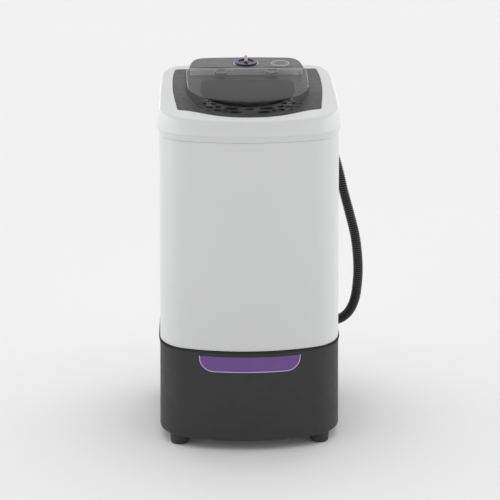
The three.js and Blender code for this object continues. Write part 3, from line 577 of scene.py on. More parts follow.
def plate_mesh(name, outline, holes, z0, z1, bevel=0.4, place=top, degrees=32.0, res=2):
    """flat plate with holes and rounded rims; place maps (x, v, w) to the row frame"""
    verts, faces = [], []
    low_loops, high_loops, low_ids, high_ids = [], [], [], []
    for loop, sign in [(outline, -1)] + [(h, 1) for h in holes]:
        loop = ccw(dedupe(loop))
        steps = []
        for k in range(res + 1):
            t = math.pi / 2 * k / res
            steps.append((bevel * (1 - math.sin(t)), z0 + bevel * (1 - math.cos(t))))
        for k in range(res, -1, -1):
            t = math.pi / 2 * k / res
            steps.append((bevel * (1 - math.sin(t)), z1 - bevel * (1 - math.cos(t))))
        n = len(loop)
        start = len(verts)
        for inset, z in steps:
            ring = offset_outline(loop, sign * inset)
            verts += [(x, y, z) for x, y in ring]
            if inset == steps[0][0] and z == steps[0][1]:
                low_loops.append([Vector((x, y, 0)) for x, y in ring])
            last = ring
        high_loops.append([Vector((x, y, 0)) for x, y in last])
        low_ids += list(range(start, start + n))
        high_ids += list(range(start + (len(steps) - 1) * n, start + len(steps) * n))
        for i in range(len(steps) - 1):
            a, b = start + i * n, start + (i + 1) * n
            for j in range(n):
                k = (j + 1) % n
                f = (a + j, a + k, b + k, b + j)
                faces.append(f if sign < 0 else f[::-1])
    for tri in tessellate_polygon(high_loops):
        faces.append(tuple(high_ids[i] for i in tri))
    for tri in tessellate_polygon(low_loops):
        faces.append(tuple(low_ids[i] for i in tri)[::-1])
    return mesh_of(name, [place(*v) for v in verts], faces, degrees)


def ring_loops(name, outline_at, section, place=top, degrees=32.0, closed=True, caps=False):
    """section entries (d, w): the outline grown by d at height w, joined in order"""
    return rings_mesh(name, [[place(x, v, w) for x, v in outline_at(d)] for d, w in section], closed, degrees, caps)


def cutter(me_name, rings, place=None):
    """closed prism from rings for boolean cuts"""
    rr = [[place(*p) if place else p for p in r] for r in rings]
    me = rings_mesh(me_name, rr, False, 32.0, caps=True)
    o = bpy.data.objects.new(me_name, me)
    SC.collection.objects.link(o)
    return o


def boolean(o, cutters, op="DIFFERENCE"):
    """applies the cuts to the object's mesh and removes the cutters"""
    keep = [m for m in o.modifiers if m.type == "WEIGHTED_NORMAL"]
    for m in keep:
        o.modifiers.remove(m)
    for c in cutters:
        b = o.modifiers.new("b", "BOOLEAN")
        b.operation = op
        b.solver = "MANIFOLD"
        b.object = c
    dg = bpy.context.evaluated_depsgraph_get()
    me = bpy.data.meshes.new_from_object(o.evaluated_get(dg))
    o.modifiers.clear()
    old = o.data
    o.data = me
    bpy.data.meshes.remove(old)
    for c in cutters:
        d = c.data
        bpy.data.objects.remove(c)
        bpy.data.meshes.remove(d)
    bm = bmesh.new()
    bm.from_mesh(me)
    bmesh.ops.remove_doubles(bm, verts=bm.verts, dist=2e-6)
    bmesh.ops.dissolve_degenerate(bm, edges=bm.edges, dist=1e-6)
    bm.to_mesh(me)
    bm.free()
    sharpen(me)
    wn = o.modifiers.new("weighted", "WEIGHTED_NORMAL")
    wn.keep_sharp = True
    wn.weight = 60
    return o


def circle2(r, x=0.0, y=0.0, n=32, a0=0.0):
    return [(x + r * math.cos(a0 + 2 * math.pi * k / n), y + r * math.sin(a0 + 2 * math.pi * k / n)) for k in range(n)]


def leaf(x, y, a, b, deg, n=28):
    """leaf-shaped opening: an ellipse drawn out to soft points at its ends"""
    c, s = math.cos(math.radians(deg)), math.sin(math.radians(deg))
    out = []
    for i in range(n):
        t = 2 * math.pi * i / n
        u = a * math.cos(t)
        v = b * math.sin(t) * (abs(math.sin(t)) ** 0.35)
        out.append((x + u * c - v * s, y + u * s + v * c))
    return out


def sweep(name, path, radius_at, sides=20, caps=True, degrees=40.0, inner=None):
    """round tube along points (mm), radius_at(i) for each, with parallel-transported frames"""
    P = [Vector(p) for p in path]
    n = len(P)
    tang = []
    for i in range(n):
        a, b = P[max(0, i - 1)], P[min(n - 1, i + 1)]
        tang.append((b - a).normalized())
    ref = Vector((0, 0, 1)) if abs(tang[0].z) < 0.9 else Vector((1, 0, 0))
    u = (ref - tang[0] * ref.dot(tang[0])).normalized()
    rings = []
    for i in range(n):
        t = tang[i]
        u = (u - t * u.dot(t)).normalized()
        w = t.cross(u)
        r = radius_at(i)
        rings.append([tuple(P[i] + (u * math.cos(2 * math.pi * k / sides) + w * math.sin(2 * math.pi * k / sides)) * r) for k in range(sides)])
    return rings_mesh(name, rings, False, degrees, caps)


# ------------------------------------------------------------------ drain hose, first of all
EXIT = (132.0, 193.0, 138.0)
HOSE = [EXIT, (141, 193, 137.8), (153, 192.9, 137), (173.8, 191.4, 135.8), (192.2, 187.6, 137.3), (208.1, 182.5, 143.2), (222, 176.8, 153.9), (233, 170.7, 170.1),
        (241.9, 161.6, 198.4), (245.8, 153.4, 235.3), (246.4, 149.7, 281.2), (239.4, 150.8, 345.1), (225.1, 155.7, 402.7), (212.5, 162.9, 448.5), (202.4, 172.2, 490.9),
        (190.5, 182.8, 528.3), (172.2, 190.1, 559.1), (150.5, 191.8, 590.9), (137.4, 189.6, 617), (130, 189, 640)]
line = catmull(HOSE, 40)
acc = [0.0]
for a, b in zip(line, line[1:]):
    acc.append(acc[-1] + (b - a).length)
HOSE_LEN = acc[-1]


def along(s):
    s = max(0.0, min(HOSE_LEN, s))
    lo, hi = 0, len(acc) - 1
    while hi - lo > 1:
        mid = (lo + hi) // 2
        if acc[mid] <= s:
            lo = mid
        else:
            hi = mid
    k = (s - acc[lo]) / max(1e-9, acc[hi] - acc[lo])
    return line[lo].lerp(line[hi], k)


PITCH = 4.7
CUFF = 15.0
RIB = [(0.0, 8.9), (0.2, 8.8), (0.36, 9.0), (0.42, 10.2), (0.5, 10.7), (0.7, 10.8), (0.84, 10.6), (0.92, 10.0)]
stations = [(0.0, 9.8), (0.6, 10.6), (CUFF - 5, 10.6), (CUFF - 3.5, 8.9)]
ribs = int((HOSE_LEN - 2 * CUFF) / PITCH)
start = (HOSE_LEN - ribs * PITCH) / 2
for k in range(ribs):
    for f, r in RIB:
        stations.append((start + (k + f) * PITCH, r))
stations += [(HOSE_LEN - CUFF + 3.5, 8.9), (HOSE_LEN - CUFF + 5, 10.6), (HOSE_LEN - 0.6, 10.6), (HOSE_LEN, 9.8)]
me = sweep("drain_hose_ribbed", [along(s) for s, _ in stations], lambda i: stations[i][1], 28, True, 60)
me.materials.append(HOSEM)
me.materials.append(HOSE_GROOVE_SHADE)
# painted shade: the narrow groove faces between the ribs take the near-black copy
for p in me.polygons:
    i = p.index // 28
    if i + 1 < len(stations) and stations[i][1] + stations[i + 1][1] < 19.4:
        p.material_index = 1
hose = link("drain_hose_ribbed", me, [HOSEM, HOSE_GROOVE_SHADE], "casing", ["drain_hose"], weighted=False)

# elbow with a screwed flange on the rear wall
EL = [(100, 170, 138), (100, 180, 138), (100.8, 184.6, 138), (103, 188.6, 138), (106.6, 191.4, 138), (111, 192.7, 138), (120, 193, 138), (131.6, 193, 138)]
elp = catmull(EL, 6)
elr = []
for i, p in enumerate(elp):
    x = p.x
    r = 8.7
    if x > 118:
        r = 10.6
    if x > 121.4:
        r = 11.6
    if x > 124.4:
        r = 10.9
    if x > 129.6:
        r = 10.2
    elr.append(r)
me = sweep("drain_elbow_tube", elp, lambda i: elr[i], 32, True, 40)
elbow = link("drain_elbow_tube", me, BLACKP, "casing", ["drain_elbow"])
ang = -0.11
rot = Matrix.Translation((100, 178.1, 138)) @ Matrix.Rotation(ang, 4, "Z") @ Matrix.Rotation(-math.pi / 2, 4, "X")
me = lathe_mesh("drain_flange", [(r, z) for r, z, _ in fillet([(0, -1.2, 0), (17, -1.2, 0.3), (17, 1.2, 0.8), (12.4, 1.2, 0.4), (11.6, 3.4, 0.6), (0, 3.4, 0)], 4, 0.2)], 48, matrix=rot)
flange = link("drain_flange", me, BLACKP, "casing")

# nozzle on the free end, with barbs
noz = Matrix.Translation((130, 189, 640)) @ Matrix.Rotation(-0.294, 4, "Y") @ Matrix.Rotation(0.02, 4, "X")
prof = [(0, 0.3, 0), (9, 0.3, 0.3), (11.3, 2.6, 0.8), (11.3, 9.6, 1.0), (8.9, 12.6, 0.8), (8.2, 15, 0.3), (8.9, 17.6, 0.3), (7.6, 20, 0.3), (8.5, 22.8, 0.3), (7.3, 25.2, 0.3), (8.1, 28, 0.3), (6.9, 30.4, 0.3),
        (6.7, 33.8, 0.6), (5.2, 33.8, 0.5), (5.0, 8, 0), (0, 8, 0)]
me = lathe_mesh("drain_nozzle", [(r, z) for r, z, _ in fillet(prof, 3, 0)], 40, matrix=noz)
nozzle = link("drain_nozzle", me, BLACKP, "casing", ["hose_nozzle"])

# holder: foot, arm and a sprung grip
H_AT = Vector((143.4, 190.84, 604))
H_AL = Vector((-0.448, -0.091, 0.89)).normalized()
H_OUT = Vector((0.2483, 0.9687, 0.0)).normalized()
gy = (H_OUT - H_AL * H_OUT.dot(H_AL)).normalized()
gx = gy.cross(H_AL)
section = []
NG = 40
for i in range(NG + 1):
    t = math.radians(148 + i * 244 / NG)
    section.append((13.6 * math.cos(t), 13.6 * math.sin(t)))
tip = math.radians(148 + 244)
section += [(13.4 * math.cos(tip) + 1.6, 13.4 * math.sin(tip) + 2.4), (12.0 * math.cos(tip) + 1.2, 12.0 * math.sin(tip) + 3.0)]
for i in range(NG, -1, -1):
    t = math.radians(148 + i * 244 / NG)
    section.append((11.3 * math.cos(t), 11.3 * math.sin(t)))
tip = math.radians(148)
section += [(12.0 * math.cos(tip) - 1.2, 12.0 * math.sin(tip) + 3.0), (13.4 * math.cos(tip) - 1.6, 13.4 * math.sin(tip) + 2.4)]


def grip_place(x, y, z):
    return tuple(H_AT + gx * x + gy * y + H_AL * z)


def arm_place(x, y, z):
    # x sideways, y height, z outwards from the cabinet face
    side = Vector((H_OUT.y, -H_OUT.x, 0))
    return tuple(H_AT + side * x + Vector((0, 0, 1)) * y + H_OUT * (z - 27.3))


me = plate_mesh("hose_grip", section, [], -8, 8, 0.7, grip_place)
grip = link("hose_grip", me, BLACKP, "casing", ["hose_holder"])


def round_rect(w, h, r, n=6, x=0.0, y=0.0):
    out = []
    for cx, cy, a in ((w - r, h - r, 0), (-w + r, h - r, 90), (-w + r, -h + r, 180), (w - r, -h + r, 270)):
        for k in range(n + 1):
            t = math.radians(a + 90 * k / n)
            out.append((x + cx + r * math.cos(t), y + cy + r * math.sin(t)))
    return out


me = plate_mesh("hose_grip_arm", round_rect(6, 6, 1.5), [], 1.5, 15.2, 0.5, arm_place)
arm = link("hose_grip_arm", me, BLACKP, "casing")
me = plate_mesh("hose_grip_foot", round_rect(13, 15, 4), [circle2(1.9, 0, 10.6, 16), circle2(1.9, 0, -10.6, 16)], 0.0, 2.4, 0.5, arm_place)
gfoot = link("hose_grip_foot", me, BLACKP, "casing")
for k, yy in enumerate((10.6, -10.6)):
    side = Vector((H_OUT.y, -H_OUT.x, 0))
    mat = Matrix.Translation(Vector(arm_place(0, yy, 2.3))) @ Vector((0, 0, 1)).rotation_difference(H_OUT).to_matrix().to_4x4()
    me = lathe_mesh(f"grip_screw_{k + 1}", [(0, -1.4), (3.2, -1.4), (3.6, 0.1), (3.2, 1.1), (2.0, 1.6), (1.1, 1.7), (1.0, 1.1), (0, 1.0)], 24, matrix=mat)
    link(f"grip_screw_{k + 1}", me, ZINC, "casing")

[tuple(c * MM for c in along(HOSE_LEN * k / 160)) for k in range(161)]

# ------------------------------------------------------------------ base housing
zs = [24.5 + (195 - 24.5) * k / 8 for k in range(1, 8)]
prof = fillet([(AXIS, 22, 0), (-2.6, 22, 0), (base_off(23), 22.0, 2.6), (base_off(60), 60, 0)], 6, 0.3)
prof += [(base_off(z), z, 0) for z in zs if z > 62]
prof += [(base_off(z), z, 0) for z in (195, 200, 203, 206, 209, 211, 213, 214.4)]
prof += [(0.5, 215.3, 0), (0.3, 215.8, 0), (-0.2, 216, 0), (-3.5, 216, 0), (-4.0, 215.6, 0), (-4.0, 203.2, 0), (-20, 202.7, 0), (-20, 199, 0), (-4.8, 195, 0), (-3.4 + base_off(60), 60, 0),
         (base_off(22) - 3.4, 26, 0), (AXIS, 26, 0)]
me = shell("base_shell", prof)
base = link("base_shell", me, DARK, "casing", ["base_housing"])
cuts = []
for x in (-60, -30, 0, 30, 60):
    loop = round_rect(4, 50, 3.6, 5, x, 0)
    cuts.append(cutter("c", [[(a, b, 18) for a, b in loop], [(a, b, 30) for a, b in loop]]))
FEET = [(-144.6, -131.8), (143.4, -131.8), (-140, 136), (140, 136)]
for x, y in FEET:
    loop = circle2(3.4, x, y, 16)
    cuts.append(cutter("c", [[(a, b, 18) for a, b in loop], [(a, b, 30) for a, b in loop]]))
for hx, hz, r, tilt in ((100, 138, 12, -0.11), (-110, 60, 7.2, 0.121)):
    loop = circle2(r, 0, 0, 32)
    mtx = Matrix.Translation((hx, 175, hz)) @ Matrix.Rotation(tilt, 4, "Z") @ Matrix.Rotation(-math.pi / 2, 4, "X")
    cuts.append(cutter("c", [[tuple(mtx @ Vector((a, b, z))) for a, b in loop] for z in (-20, 20)]))
boolean(base, cuts)
slots = [m for m in base.data.materials if m is not None]
base.data.materials.clear()
for m in (slots[0], LIP_SIDE_SHADED):
    base.data.materials.append(m)
# the collar rim above the cabinet seam takes the copy with painted side shade
for p in base.data.polygons:
    p.material_index = 1 if p.center.z > 0.2105 else 0

# ------------------------------------------------------------------ cabinet
prof = [(-4.3, 203, 0), (-4.3, 216.0, 0), (-3.9, 216.3, 0), (-2.7, 216.3, 0), (-2.15, 216.6, 0), (-2.0, 217.2, 0), (-2.0, 219, 0)]
prof += [(body_off(z), z, 0) for z in [219 + (640.2 - 219) * k / 14 for k in range(1, 15)]]
prof += [(body_off(640.7) - 0.3, 640.7, 0), (-10.8, 640.7, 0), (-7, 240, 0), (-7, 203, 0)]
me = shell("cabinet_shell", prof)
cabinet = link("cabinet_shell", me, WHITE, "casing", ["outer_cabinet"])

# ------------------------------------------------------------------ top cover
half_deck = [(0, -151.2), (20, -150.1), (40, -147.0), (63.5, -139.8), (86.5, -128.0), (104, -118.0), (118, -111.2), (128, -107.8), (134, -106.4),
             (137.4, -104.2), (139.3, -99), (142, -72), (145.2, -42), (148, -10), (150.2, 25), (151, 60), (150.6, 95), (148.6, 125), (147, 139), (145.2, 143.6), (140, 145.4), (0, 146.5)]
right = [tuple(p) for p in catmull(half_deck[:-1], 5)] + [(0.0, 146.5)]
DECK_LINE = right + [(-x, y) for x, y in right[1:-1]][::-1]
DECK_LINE = ccw(DECK_LINE)
up = fillet([(-8.0, 641.3, 0), (-8.0, 652.2, 0.5), (-4.9, 652.6, 0.5), (-4.3, 655, 1.2), (-5.4, 668, 0)], 4, 0.25)
rim = fillet([(-5.4, 668, 0, 0.0), (-8.2, TOP_Z - 7.0, 0, 1.0), (-9.4, TOP_Z, 7.4, 1.0), (-30, TOP_Z, 0, 1.0)], 10, 0.4)
rim = rim[1:]
prof = [(a, b, 0.0) for a, b, _ in up[:-1]]
for z in (662, 670, 678, 686):
    k = (z - 660) / 36
    prof.append((-4.9 - 3.0 * k, z, max(0.0, k), 5.0 * max(0.0, k)))
# towards the rear the wall stands upright and its top edge gets tighter
for a, b, _ in rim:
    if a > -29:
        q = max(0.0, min(1.0, (-8.2 - a) / 8.0))
        prof.append((a, b, 1.0, 5.0 + 4.6 * q))
prof += [(-30, TOP_Z, 1.0, 6.0), (-60, TOP_Z, 1.0), (AXIS, TOP_Z, 1.0), (AXIS, TOP_Z - 6.4, 1.0), (-17, TOP_Z - 6.4, 1.0, 6.0), (-11.4, TOP_Z - 12, 1.0, 5.0), (-8.2, 658, 0), (-13.4, 650, 0), (-13.4, 630, 0), (-11.2, 630, 0), (-11.2, 641.3, 0)]
me = shell("cover_shell", prof)
cover = link("cover_shell", me, WHITE, "casing", ["top_cover"])
o1 = offset_outline(DECK_LINE, 0.55)
o2 = offset_outline(DECK_LINE, -7)
c1 = cutter("c", [[top(x, v, -3.7) for x, v in o1], [top(x, v, -0.5) for x, v in o1], [top(x, v, 0.5) for x, v in offset_outline(DECK_LINE, 1.55)], [top(x, v, 4) for x, v in offset_outline(DECK_LINE, 1.6)]])
c2 = cutter("c", [[top(x, v, -12) for x, v in o2], [top(x, v, 3) for x, v in o2]])
boolean(cover, [c1, c2])

# ------------------------------------------------------------------ deck with the loading opening
WELL_X, WELL_R, WELL_V, WELL_REAR = 94.5, 95.5, 4.0, 76.0


def well(extra, n=36, side=10, corner=10, rear_n=16):
    """opening outline: bowed front, straight sides, rounded rear corners"""
    a, b, rear, rc = WELL_X + extra, WELL_R + extra, WELL_REAR + extra, 17.0 + extra
    half = []
    e = 2 / 1.85
    for i in range(n + 1):
        t = math.pi / 2 * i / n
        half.append((a * math.sin(t) ** e, WELL_V - b * max(0.0, math.cos(t)) ** e))
    for i in range(1, side):
        half.append((a, WELL_V + (rear - rc - WELL_V) * i / side))
    for i in range(corner + 1):
        t = math.pi / 2 * i / corner
        half.append((a - rc + rc * math.cos(t), rear - rc + rc * math.sin(t)))
    for i in range(1, rear_n):
        half.append(((a - rc) * (1 - i / rear_n), rear))
    half.append((0.0, rear))
    return half + [(-x, y) for x, y in half[1:-1]][::-1]


HALF_VENTS = [(79.6, -55.6, 5.4, 3.4, 45), (69.8, -69.4, 7.0, 4.3, 42), (86.0, -68.6, 6.6, 4.3, 42), (77.0, -88.2, 8.0, 5.6, 37), (61.6, -87.2, 7.4, 5.6, 34),
              (62.0, -106.4, 8.6, 5.8, 27), (46.8, -110.8, 5.4, 3.6, 20), (33.8, -98.0, 14.8, 6.6, 5), (27.8, -118.5, 12.8, 5.8, 9)]
PITS = [(94.0, -91.0, 5.6, 4.0, 40), (79.4, -110.4, 6.2, 4.2, 34), (100.5, -73.0, 4.8, 3.4, 46)]
vents = []
for x, v, a, b, d in HALF_VENTS:
    vents.append(leaf(x, v, a, b, d))
    vents.append(leaf(-x, v, a, b, -d))
vents.append(leaf(0, -101.2, 10.5, 4.2, 0))
pits = []
for x, v, a, b, d in PITS:
    pits.append(leaf(x, v, a, b, d))
    pits.append(leaf(-x, v, a, b, -d))
pockets = []
for s in (1, -1):
    pockets.append([(s * HINGE_X - 13.5, 80.0), (s * HINGE_X + 13.5, 80.0), (s * HINGE_X + 13.5, 100), (s * HINGE_X - 13.5, 100)])
deck_in = offset_outline(DECK_LINE, 0.0)
well_big = well(3.0)
me = plate_mesh("deck_plate", deck_in, [well_big] + vents + pits + pockets + [circle2(5, 0, KNOB_V, 24), circle2(3, 108, 70, 20)], -3.3, -0.8, 0.4)
deck = link("deck_plate", me, DECK, "casing", ["top_deck"])
# collar that hangs into the tub, with a rolled lip round the opening
sec = fillet([(3.4, -3.0, 0.3), (3.4, -0.2, 1.0), (0.2, -0.2, 1.3), (0.0, -44.4, 0.9), (2.5, -44.4, 0.9), (2.5, -3.0, 0)], 5, 0.3)
me = ring_loops("deck_collar", lambda d: well(d), [(d, w) for d, w, _ in sec])
collar = link("deck_collar", me, DECK, "casing")
# shallow floors below the blind dimples
sheets = []
for k, (x, v, a, b, d) in enumerate(PITS):
    for s in (1, -1):
        loop = leaf(s * x, v, a + 1.6, b + 1.4, s * d)
        me = plate_mesh(f"deck_dimple_{k + 1}_{'r' if s > 0 else 'l'}", loop, [], -3.2, -1.9, 0.2, res=1)
        sheets.append(link(f"deck_dimple_{k + 1}_{'r' if s > 0 else 'l'}", me, DECK, "casing"))

# ------------------------------------------------------------------ lid
LID_REAR, LID_H = 95.4, 18.0
TOPM = Matrix(((1, 0, 0, 0), (0, TC, -TS, 0), (0, TS, TC, TOP_Z), (0, 0, 0, 1)))


def lid_line(a, b, centre, power, n=44, rear_n=26, wide=0.0):
    half = []
    for i in range(n + 1):
        t = (i / n) * (math.pi / 2)
        half.append((a * math.sin(t) ** (2 / power), centre - b * math.cos(t) ** (2 / power)))
    side = 14
    for k in range(1, side):
        q = k / (side - 1)
        half.append((a + wide * q * (2 - q), centre + (LID_REAR - 5 - centre) * q))
    a += wide
    for k in range(1, 7):
        t = math.radians(90 * k / 6)
        half.append((a - 5 + 5 * math.cos(t), LID_REAR - 5 + 5 * math.sin(t)))
    for k in range(1, rear_n):
        half.append(((a - 5) * (1 - k / rear_n), LID_REAR))
    half.append((0.0, LID_REAR))
    left = [(-x, y) for x, y in half[1:-1]][::-1]
    return half + left


LOW = lid_line(126.5, 165, 26, 1.9)
HIGH = lid_line(119.2, 100, -17, 2.0, wide=3.6)
N_LID = len(LOW)


def lid_top(x, v, w):
    """lid point; towards the rear the dome is slightly crowned across its width"""
    t = max(0.0, min(1.0, (v + 10) / 100))
    crown = (2.0 - 3.6 * (x / 120) ** 2) * t * t * (3 - 2 * t)
    return top(x, v, w + crown * max(0.0, w - 2) / 16)


def lid_ring(share, w, inset=0.0, pull=0.0):
    ring = []
    for (x0, y0), (x1, y1) in zip(LOW, HIGH):
        ring.append([x0 * (1 - share) + x1 * share, y0 * (1 - share) + y1 * share])
    if inset:
        ring = offset_outline(ring, -inset)
    return [lid_top(x, min(v, LID_REAR - inset - pull), w) for x, v in ring]


def cap_rings(w, share, inset, crown, steps=7, pull=0.0):
    """flat top closed towards its centre with a slight crown"""
    base_ring = [(x0 * (1 - share) + x1 * share, y0 * (1 - share) + y1 * share) for (x0, y0), (x1, y1) in zip(LOW, HIGH)]
    if inset:
        base_ring = offset_outline(base_ring, -inset)
    base_ring = [(x, min(v, LID_REAR - inset - pull)) for x, v in base_ring]
    cx, cy = 0.0, -8.0
    rings = []
    for k in range(1, steps + 1):
        q = 1 - (k / steps)
        q = max(q, 0.0)
        rings.append([lid_top(cx + (x - cx) * q, cy + (y - cy) * q, w + crown * (1 - q * q)) for x, y in base_ring])
    return rings


# stations: share of the way from the low to the high outline, height, pull of the rear edge
OUT = [(0.0, 0.2, 0), (0.0, 0.9, 0), (0.10, 2.6, 0), (0.24, 5.4, 0), (0.38, 8.2, 0), (0.52, 11.0, 0), (0.64, 13.1, 0), (0.74, 14.6, 0), (0.82, 15.6, 0.0),
       (0.90, 16.4, 0.05), (0.97, 16.9, 0.24), (1.03, 17.25, 0.48), (1.10, 17.53, 0.78), (1.18, 17.75, 1.13), (1.28, 17.88, 1.5), (1.40, 17.93, 1.9)]
INN = [(0.0, 0.2), (0.02, 0.9), (0.10, 1.2), (0.24, 3.6), (0.38, 6.2), (0.52, 8.9), (0.64, 11.0), (0.74, 12.6), (0.82, 13.6), (0.90, 14.3), (0.97, 14.8), (1.03, 15.05), (1.10, 15.2), (1.18, 15.25)]
outer = [lid_ring(s, w, 0.0, p) for s, w, p in OUT] + cap_rings(17.93, 1.40, 0.0, 0.07, 7, 1.9)
inner = [lid_ring(s, w, 2.6) for s, w in INN] + cap_rings(15.25, 1.18, 2.6, 0.07)
rings = inner[::-1] + outer
me = rings_mesh("lid_dome", rings, False, 40)
me.materials.append(SMOKE)
me.materials.append(SMOKE_IN)
me.materials.append(SMOKE_SKIRT)
near = []
for side_rings in (outer, inner):
    pts = [Vector(q) * MM for r in side_rings for q in r]
    tree = KDTree(len(pts))
    for i, q in enumerate(pts):
        tree.insert(q, i)
    tree.balance()
    near.append(tree)
up_w = Vector((0, -TS, TC))
for p in me.polygons:
    # the outer side has the gloss; flat parts are told apart by where they face, the skirt by which side is nearer
    lift = p.normal.dot(up_w)
    if abs(lift) > 0.9:
        p.material_index = 0 if lift > 0 else 1
    else:
        p.material_index = 2 if near[0].find(p.center)[2] <= near[1].find(p.center)[2] else 1
lid = link("lid_dome", me, [SMOKE, SMOKE_IN, SMOKE_SKIRT], "lid", ["lid"], weighted=False)
rear_cut = cutter("c", [[top(x, v, w) for x, v in ((-140, 85), (140, 85), (140, 112), (-140, 112))] for w in (-3, 3.2)])
cuts = [rear_cut]
for s in (1, -1):
    cuts.append(cutter("c", [[top(s * HINGE_X + x, v, w) for x, v in ((-14, 84.5), (14, 84.5), (14, 112), (-14, 112))] for w in (-4, 14.2)]))
boolean(lid, cuts)
# painted highlight: an opaque grey material on the lid's rear top edge stands in for the bright line that edge catches
RIM_HIGHLIGHT = bpy.data.materials.new("lid_rim")
RIM_HIGHLIGHT.use_nodes = True
rnt = RIM_HIGHLIGHT.node_tree
rp = rnt.nodes["Principled BSDF"]
rtc = rnt.nodes.new("ShaderNodeTexCoord")
rnt.links.new(ramp(rnt, noise(rnt, 40, 3, 0.5, rtc.outputs["Object"]), [(0.3, (0.18, 0.18, 0.185)), (0.7, (0.21, 0.21, 0.215))]), rp.inputs["Base Color"])
rp.inputs["Roughness"].default_value = 0.25
lid.data.materials.clear()
for m in (SMOKE, SMOKE_IN, SMOKE_SKIRT, RIM_HIGHLIGHT):
    lid.data.materials.append(m)
inv = TOPM.inverted()
for p in lid.data.polygons:
    c = inv @ (p.center / MM)
    nrm = inv.to_3x3() @ p.normal
    if (c.y > 80 and abs(abs(c.x) - HINGE_X) < 14.3 and c.z < 14.6) or c.z < 1.6:
        p.material_index = 1
    # the rear top edge takes the painted highlight
    elif c.y > LID_REAR - 2.05 and c.z > 14.9 and nrm.y > 0.12 and nrm.z > 0.2:
        p.material_index = 3


ear_sec = [(77, 16.2), (94.8, 16.2), (95.0, 12), (94.8, 7.5)]
for k in range(0, 9):
    t = math.radians(-15 - 150 * k / 8)
    ear_sec.append((90 + 5.0 * math.cos(t), 9 + 5.0 * math.sin(t)))
ear_sec += [(81, 10.6), (77, 14)]
bore = circle2(3.3, HINGE_V, HINGE_W, 24)
for s, nm in ((1, "right"), (-1, "left")):
    x = s * HINGE_X

    def place(a, b, c):
        return top(c, a, b)
    me = plate_mesh(f"lid_ear_{nm}", ear_sec, [bore], x - 9, x + 9, 0.5, place)
    link(f"lid_ear_{nm}", me, SMOKE_EAR, "lid")
me = plate_mesh("lid_switch_post", round_rect(3, 4, 1.2, 4, 108, 70), [], 5.2, 16.2, 0.4)
link("lid_switch_post", me, SMOKE_IN, "lid")

# ------------------------------------------------------------------ console
half_panel = [(0, 102.3), (60, 102.3), (111, 102.3), (116.6, 102.7), (118.0, 104.4), (117.6, 110), (116.6, 119), (114.4, 134), (110.2, 148.6), (104.0, 159.2), (95, 165.6), (84, 168.2), (40, 170.6), (0, 171.6)]
right = [tuple(p) for p in catmull(half_panel, 6)]
right = [(max(0.0, x), y) for x, y in right]
PANEL_LINE = ccw(right + [(-x, y) for x, y in right[1:-1]][::-1])


def panel_ring(inset, w):
    return [top(x, v, w) for x, v in offset_outline(PANEL_LINE, -inset)]


def shrink_ring(q, w, inset=3.0):
    cx, cy = 0.0, 134.0
    return [top(cx + (x - cx) * q, cy + (v - cy) * q, w) for x, v in offset_outline(PANEL_LINE, -inset)]


pr = [panel_ring(2.8, 0.3), panel_ring(0.3, 0.3), panel_ring(0.0, 0.6), panel_ring(0.0, 8), panel_ring(0.1, 14.6), panel_ring(0.35, 15.8), panel_ring(0.9, 16.8), panel_ring(1.7, 17.3), panel_ring(2.6, 17.5), panel_ring(3.0, 17.52)]
pr += [shrink_ring(q, 17.52 + 0.08 * (1 - q)) for q in (0.8, 0.6, 0.4, 0.0)]
pr_in = [shrink_ring(q, 14.6, 3.4) for q in (0.0, 0.5, 0.9)] + [panel_ring(3.4, 14.6), panel_ring(3.0, 14.0), panel_ring(2.8, 6)]
rings = pr_in + pr
me = rings_mesh("console_shell", rings, False, 38)
console = link("console_shell", me, PANEL, "casing", ["control_panel"])
loop = circle2(5, 0, KNOB_V, 32)
boolean(console, [cutter("c", [[top(a, b, w) for a, b in loop] for w in (8, 24)])])
console.data.materials.append(PANEL_WALL_LIT)
# the front wall below the top takes the lighter copy: painted light
for p in console.data.polygons:
    c = TOPM.inverted() @ (p.center / MM)
    if p.normal.y < -0.9 and c.y < 104 and c.z < 15.5:
        p.material_index = 1

# dial ring round the knob, left and right arcs
def arc_band(cx, cv, r0, r1, a0, a1, n=24):
    out = [(cx + r1 * math.cos(math.radians(a0 + (a1 - a0) * k / n)), cv + r1 * math.sin(math.radians(a0 + (a1 - a0) * k / n))) for k in range(n + 1)]
    out += [(cx + r0 * math.cos(math.radians(a1 + (a0 - a1) * k / n)), cv + r0 * math.sin(math.radians(a1 + (a0 - a1) * k / n))) for k in range(n + 1)]
    return out


for nm, a0, a1 in (("right", -34, 50), ("left", 130, 214)):
    me = plate_mesh(f"dial_arc_{nm}", arc_band(0, KNOB_V, 24.3, 25.8, a0, a1, 36), [], 17.2, 17.75, 0.1, res=1)
    link(f"dial_arc_{nm}", me, PALE, "casing")
# a plain ring with ticks beside the knob
me = plate_mesh("dial_mark_ring", circle2(18.6, 71, 128.5, 64), [circle2(17.4, 71, 128.5, 64)], 17.3, 17.75, 0.1, res=1)
link("dial_mark_ring", me, PALE, "casing")
for k in range(12):
    a = math.radians(30 * k)
    cx, cy = 71 + 13.6 * math.cos(a), 128.5 + 13.6 * math.sin(a)
    loop = []
    for dx, dy in ((-1.7, -0.5), (1.7, -0.5), (1.7, 0.5), (-1.7, 0.5)):
        loop.append((cx + dx * math.cos(a) - dy * math.sin(a), cy + dx * math.sin(a) + dy * math.cos(a)))
    me = plate_mesh(f"dial_tick_{k + 1}", loop, [], 17.3, 17.75, 0.08, res=1)
    link(f"dial_tick_{k + 1}", me, PALE, "casing")

